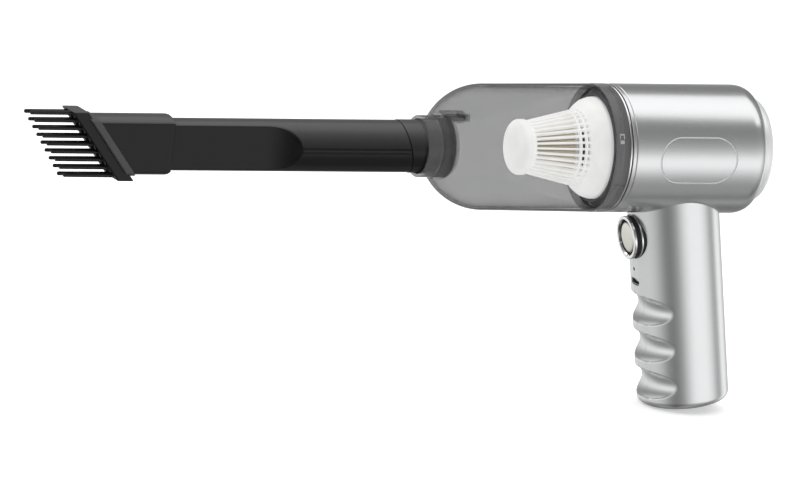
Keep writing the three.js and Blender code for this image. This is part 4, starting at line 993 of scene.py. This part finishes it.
def blade_section(x, radius, flat, corner):
    """A round section flattened on both sides, with its corners rounded, as points round the X axis."""
    edge = acos(min(1.0, flat / radius))
    edge = max(edge, radians(8))
    quarter = [edge * k / 5 for k in range(5)]
    quarter += [edge + radians(9) * (k - 4) / 4 * min(1, edge / 0.2) for k in range(9)]
    last, steps = quarter[-1], 14
    quarter += [last + (pi / 2 - last) * k / steps for k in range(1, steps)]
    angles = quarter + [pi / 2] + [pi - a for a in reversed(quarter[1:])]
    angles += [a + pi for a in angles]
    ring = []
    for a in angles:
        reach = soft_least(radius, flat / max(1e-6, abs(cos(a))), corner)
        ring.append((x, reach * cos(a), reach * sin(a)))
    return ring


def blade_half(x, flat, radius):
    """How far the flats stand from the axis, along the scoops that lead from the round tube to the blade."""
    rise = SCOOP_RADIUS - (TUBE_RADIUS - BLADE_FLAT)
    start = SCOOP_END - sqrt(SCOOP_RADIUS ** 2 - rise ** 2)
    if x <= start:
        return flat
    if x >= start + radius:
        return inf
    return flat + radius - sqrt(radius ** 2 - (x - start) ** 2)


def blade_places(first, last):
    """Places along the nozzle, closest together where the scoops are."""
    start, end = SCOOP_END - 28, SCOOP_END + 4
    return evenly(first, start, 12) + evenly(start, end, 40) + evenly(end, last, 24) + [last]


def slant_front(piece, before):
    """Leans the points in front of a place forwards, by the cuff's slant."""
    for vertex in piece.data.vertices:
        if vertex.co.x < before:
            vertex.co.x -= vertex.co.z * CUFF_SLOPE


def nozzle():
    """The crevice nozzle: a round tube that two scoops thin down to a flat blade."""
    skins = []
    for radius, wall, past in ((TUBE_RADIUS, 0, 0), (TUBE_BORE, BLADE_WALL, 1)):
        skins.append(loft([
            blade_section(x, radius, blade_half(x, BLADE_FLAT - wall, SCOOP_RADIUS + wall), 0.5)
            for x in blade_places(BLADE_TIP - past, NOZZLE_REAR + past)
        ]))
    outside = carve(*skins)
    front = CUFF_FRONT - GAP
    collar = lathe([(front, CUFF_BORE - GAP), (front, 17), (NOZZLE_REAR + 2, 17),
                    (NOZZLE_REAR + 2, CUFF_BORE - GAP)], 160)
    slant_front(collar, NOZZLE_REAR)
    carve(outside, collar)
    settle(outside, "nozzle_blade", BLACK, "nozzle", ["crevice_nozzle"], 30)


def nozzle_cuff():
    """The cuff between the cup and the nozzle, cut at a slant in front."""
    cuff = lathe(rounded([
        (CUFF_FRONT, CUFF_BORE, 0.2), (CUFF_FRONT, CUFF_RADIUS, 0.35), (CUFF_REAR, CUFF_RADIUS, 0.3),
        (CUFF_REAR, CUFF_BORE, 0.3),
    ], 4), 200)
    slant_front(cuff, SNOUT_MOUTH - 1)
    settle(cuff, "nozzle_cuff_ring", BLACK, "nozzle_cuff", ["nozzle_cuff"])


def head_front(z):
    """X of the slanted head's front face at a height."""
    return HEAD_FRONT - z * HEAD_SLOPE


def slanted(front, rear, height, y0, y1, rounding=0.0):
    """A plate along the slanted head, between two distances behind its front face."""
    half = height / 2
    return block(HEAD_FRONT + front, HEAD_FRONT + rear, y0, y1, -half, half,
                 rounding=rounding, slope=HEAD_SLOPE)


def brush_head():
    """The brush's sleeve and slanted head, bored for the blade and open down its middle."""
    places = evenly(-380, -299, 30) + [-299] + evenly(-298, -296.6, 4) + [-296.6]
    loops = [blade_section(x, 16.25, 9.4, 0.6) for x in places]
    loops += [blade_section(SLEEVE_REAR - 0.8 + 0.8 * k / 4, 16.25 - 0.5 * k / 4, 9.4 - 0.5 * k / 4, 0.5)
              for k in range(1, 5)]
    sleeve = meet(loft(loops), slanted(HEAD_LENGTH - 1, 150, 60, -25, 25))
    head = slanted(0, HEAD_LENGTH, HEAD_HEIGHT, -HEAD_HALF, HEAD_HALF, 0.9)
    lip = meet(
        slanted(HEAD_LENGTH - 2.2, HEAD_LENGTH + 2.9, 33.5, -10.2, 10.2, 0.8),
        loft([blade_section(x, 17.0, 10.2, 0.6) for x in (-385, -345, -305)]),
    )
    whole = join(sleeve, head)
    carve(lip, copied(whole))
    bore = loft([blade_section(x, 14.25, 7.7, 0.5)
                 for x in [BLADE_TIP - GAP + 25 * k / 10 for k in range(11)]])
    carve(whole, bore)
    carve(whole, block(-385, BLADE_TIP, -MOUTH_HALF, MOUTH_HALF, -MOUTH_HEIGHT / 2, MOUTH_HEIGHT / 2))
    carve(whole, slanted(-2, 3.3, 35.2, -COMB_OUTER - GAP, COMB_OUTER + GAP))
    settle(whole, "brush_head_body", BLACK, "brush", ["brush_head"])
    carve(lip, rod((-385, 0, 0), (-305, 0, 0), 7.5, 60))
    settle(lip, "brush_head_lip", LIP, "brush")


def tine_comb(name, node, side):
    """A comb of tapered, round-tipped tines on a slanted strip. The two rows are staggered in height."""
    y0, y1 = sorted((side * COMB_INNER, side * COMB_OUTER))
    middle = (y0 + y1) / 2
    strip = slanted(0.1, 3, 34.6, y0, y1, 0.25)
    tines = []
    for k in range(TINE_COUNT):
        z = (k - (TINE_COUNT - 1) / 2) * TINE_PITCH
        tip = HEAD_FRONT - TINE_REACH - z * TINE_TIP_SLOPE
        radius = 1.2 if k in (0, TINE_COUNT - 1) else 1.1
        level = z - side * TINE_STAGGER
        start = (head_front(z) + 1.5, middle, level)
        tines.append(rod(start, (tip, middle * 1.06, level), radius, 28, radius * 0.9, radius * 0.7))
    join(strip, together(tines))
    settle(strip, name, BLACK_BRISTLE, "brush", [node])


# ---- button, light and socket

def grip_lathe(profile, depth, sides=120):
    """A solid turned about a line across the grip at a depth down it. x runs backwards."""
    return lathe(profile, sides, ON_GRIP @ Matrix.Translation((0, 0, -depth)))


def push_button():
    """The round button: a plated bezel with a dark band, a black ring of painted shade in the gap behind it,
    a seal and a shallow domed cap.
    """
    face = -28.5
    bezel = [
        (face + 1.0, 9.35, 0.3), (face, 9.9, 0.35), (face, 11.75, 0.4), (face + 1.5, 11.75, 0.2),
        (face + 1.5, 11.1), (face + 4.3, 11.1), (face + 4.3, 11.75, 0.2), (face + 5.3, 11.75, 0.2),
        (face + 5.3, 11.2), (-16.6, 11.2), (-16.6, 13.15), (-15.1, 13.15), (-15.1, 6.8),
        (-16.6, 6.8), (-16.6, 9.35),
    ]
    band_line = [
        (face + 1.55, 11.12), (face + 1.55, 11.55, 0.15), (face + 2.7, 11.55, 0.12), (face + 2.9, 11.35, 0.1),
        (face + 3.1, 11.55, 0.12), (face + 4.25, 11.55, 0.15), (face + 4.25, 11.12),
    ]
    # Painted shade: a black ring fills the gap between the bezel and the housing's hole, where there is only
    # shadow.
    gap_shade = [(face + 5.35, 11.22), (face + 5.35, 11.85, 0.1), (-17, 11.85), (-17, 11.22)]
    seal = [(face + 1.3, 8.5, 0.2), (face + 1.3, 9.05, 0.2), (-17.2, 9.05), (-17.2, 8.5)]
    for name, outline, steps, sides, finish, slot, stands_for in (
        ("button_bezel_ring", bezel, 4, 144, CHROME, "bright_metal", ["button_bezel"]),
        ("button_bezel_band", band_line, 3, 144, RUBBER, "black_rubber", ()),
        ("button_gap_painted_shade", gap_shade, 3, 144, RUBBER, "black_rubber", ()),
        ("button_seal_ring", seal, 3, 120, RUBBER, "black_rubber", ["button_gasket"]),
    ):
        ring = grip_lathe(rounded(outline, steps), BUTTON_DEPTH, sides)
        settle(ring, name, finish, "root", stands_for)
    top = face + 0.5
    cap = grip_lathe([
        (top, 0), (top + 0.01, 2), (top + 0.04, 4), (top + 0.12, 6), (top + 0.22, 7.1), (top + 0.38, 7.7),
        (top + 0.62, 8.05), (top + 1.0, 8.2), (top + 8, 8.2), (top + 8, 6.8), (top + 2, 6.8),
        (top + 2, 2.2), (-15.0, 2.2), (-15.0, 0),
    ], BUTTON_DEPTH)
    settle(cap, "button_cap_domed", BUTTON_METAL, "button", ["button_cap"])


def light_and_socket():
    """The small charge light and the charging socket below the button."""
    pipe = grip_lathe([(-24.45, 0), (-24.4, 0.4), (-24.2, 0.7), (-23.9, 0.8), (-7.7, 0.8), (-7.7, 0)],
                      LIGHT_DEPTH, 32)
    settle(pipe, "charge_light_tip", DARK_LIGHT, "root", ["indicator_light_pipe"])
    shell = slot_block(4.5, 1.65, -23.9, -13.5, SOCKET_DEPTH)
    carve(shell, slot_block(4.12, 1.28, -30, -15.0, SOCKET_DEPTH))
    tongue = block(-22.8, -14.4, -3.2, 3.2, -SOCKET_DEPTH - 0.35, -SOCKET_DEPTH + 0.35, ON_GRIP)
    join(shell, tongue)
    settle(shell, "charging_socket_shell", STEEL, "root", ["usb_c_socket"])


def inner_finishes():
    """Finishes for the parts inside, which keep their CAD meshes."""
    wanted = (
        (FOAM, "exhaust_foam"), (COPPER, "stator"), (BLACK, "switch_plunger"),
        (GREY, "fan_cover diffuser switch_body cell_cradle impeller"),
        (STEEL, "motor_can motor_front_plate motor_shaft rotor_core"),
        (STEEL, "front_bearing rear_bearing button_spring"),
        (RUBBER, "rear_motor_bracket cup_seal filter_seal"),
        (BOARD, "control_board charging_board"), (SLEEVE, "cell_left cell_right"),
    )
    for finish, nodes in wanted:
        for node in nodes.split():
            paint(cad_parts[node].data, finish)


# ---- studio

def floor_finish():
    """A pale, even floor that goes to white and keeps a soft shadow."""
    f = Finish("studio_floor")
    cloud = f.noise(900, 2)
    lit = f.add("ShaderNodeBsdfDiffuse", sockets={"Color": f.mix(cloud, (0.9, 0.9, 0.9), (0.92, 0.92, 0.92))})
    glow = f.add("ShaderNodeEmission", sockets={"Color": (1, 1, 1, 1), "Strength": 0.34})
    off = f.add("ShaderNodeEmission", sockets={"Color": (0, 0, 0, 1), "Strength": 0.0})
    extra = f.add("ShaderNodeMixShader", sockets={0: f.ray("Camera"), 1: off, 2: glow})
    both = f.add("ShaderNodeAddShader", sockets={0: lit, 1: extra})
    f.add("ShaderNodeOutputMaterial", sockets={"Surface": both})
    return f.material


def studio_floor():
    """A wide floor just under the grip, which gloss doesn't show."""
    mesh = bpy.data.meshes.new("studio_floor")
    half, height = 7, -0.0372
    corners = [(-half, -half), (half, -half), (half, half), (-half, half)]
    mesh.from_pydata([(x, y, height) for x, y in corners], [], [(0, 1, 2, 3)])
    paint(mesh, floor_finish())
    made = linked("studio_floor", mesh)
    made.visible_glossy = False


def softbox(name, centre, aim, width, height, power, mirrored):
    """A rectangular lamp that faces a point. Gloss shows it only if it is mirrored."""
    lamp = bpy.data.lights.new(name, "AREA")
    lamp.shape = "RECTANGLE"
    lamp.size = width
    lamp.size_y = height
    lamp.energy = power
    made = linked(name, lamp)
    made.location = centre
    made.rotation_euler = (Vector(aim) - Vector(centre)).to_track_quat("-Z", "Y").to_euler()
    made.visible_glossy = mirrored


def studio_light():
    """Softboxes above and at the sides, in a pale room that is darker high up in front."""
    aim = (-0.12, 0, 0.1)
    softbox("overhead_softbox", (0.2, 0.34, 1.15), aim, 2.6, 0.75, 7.6, True)
    softbox("right_softbox", (0.95, -1.35, 0.45), aim, 0.75, 0.8, 3.0, False)
    softbox("left_softbox", (-1.35, 0.75, 0.5), aim, 1.1, 1.3, 5.2, False)
    world = bpy.data.worlds.new("studio_room")
    scene.world = world
    world.use_nodes = True
    f = Finish("", world.node_tree)
    direction = f.add("ShaderNodeTexCoord", output="Generated")
    height = f.part(direction, "Z")
    # How bright the room looks in metal: by height, and by the direction seen from above.
    by_height = f.ramp(height * 0.5 + 0.5, [
        (0.0, 0.42), (0.05, 0.4), (0.12, 0.3), (0.2, 0.5), (0.28, 0.95), (0.36, 1.35), (0.45, 1.3),
        (0.52, 0.85), (0.6, 0.48), (0.7, 0.28), (0.8, 0.19), (0.93, 0.17), (1.0, 0.4),
    ])
    x, y = f.part(direction, "X"), f.part(direction, "Y")
    sideways, ahead = x * 0.91 - y * 0.415, x * -0.415 - y * 0.91
    turn = f.add("ShaderNodeMath", {"operation": "ARCTAN2"}, {0: sideways, 1: ahead})
    by_turn = f.ramp(turn * (0.5 / pi) + 0.5, [
        (0.0, 0.5), (0.13, 0.75), (0.22, 0.8), (0.3, 0.9), (0.345, 0.8), (0.38, 0.6), (0.415, 0.34),
        (0.45, 0.17), (0.486, 0.18), (0.525, 0.34), (0.57, 0.76), (0.61, 1.0), (0.7, 1.0), (0.74, 0.78),
        (0.785, 0.33), (0.81, 0.36), (0.845, 1.0), (0.885, 0.95), (0.92, 0.45), (1.0, 0.5),
    ])
    sky = f.mix(f.rise(x, 0.12, -0.2), by_height, (1.15, 1.15, 1.15))
    room = f.mix(f.rise(height, 0.35, 0.7), f.mix(by_turn, (0, 0, 0), by_height), sky)
    tone = f.mix(f.ray("Glossy"), (0.78, 0.78, 0.78), room)
    light = f.add("ShaderNodeBackground", sockets={"Color": tone, "Strength": 1.0})
    white = f.add("ShaderNodeBackground", sockets={"Color": (1, 1, 1, 1), "Strength": 1.0})
    seen = f.ray("Camera") + f.ray("Transmission")
    shown = f.add("ShaderNodeMixShader", sockets={0: seen, 1: light, 2: white})
    f.add("ShaderNodeOutputWorld", sockets={"Surface": shown})


def camera():
    """A long lens, a little above and in front of the object, rolled so that the body lies level."""
    right = Vector((0.906, -0.412, 0.1004)).normalized()
    up = Vector((0.0, 0.2368, 0.9713)).normalized()
    back = right.cross(up).normalized()
    up = back.cross(right)
    roll = Matrix.Rotation(radians(0.35), 3, back)
    right, up = roll @ right, roll @ up
    lens, sensor, picture_width, scale = 900.0, 36.0, 800, 0.53
    distance = lens / sensor * picture_width * scale
    # The scale is set at the depth of the object's middle.
    target = BODY_PLACE + Vector((-168, 0, 0)) + 8.1 * right - 53.9 * up
    place = (target + back * distance) * METRES
    data = bpy.data.cameras.new("studio_camera")
    data.lens = lens
    data.sensor_width = sensor
    data.clip_start = 0.1
    data.clip_end = 30
    made = linked("studio_camera", data)
    made.matrix_world = Matrix.Translation(place) @ Matrix((right, up, back)).transposed().to_4x4()
    scene.camera = made


housing()
screws()
rear_cap()
trim_ring()
lock_ring()
front_frame()
dust_cup()
inlet_flap()
filter_cage()
filter_pleats()
nozzle()
nozzle_cuff()
brush_head()
tine_comb("brush_comb_left", "tine_comb_left", -1)
tine_comb("brush_comb_right", "tine_comb_right", 1)
push_button()
light_and_socket()
inner_finishes()
studio_floor()
studio_light()
camera()
scene.view_settings.view_transform = "Standard"
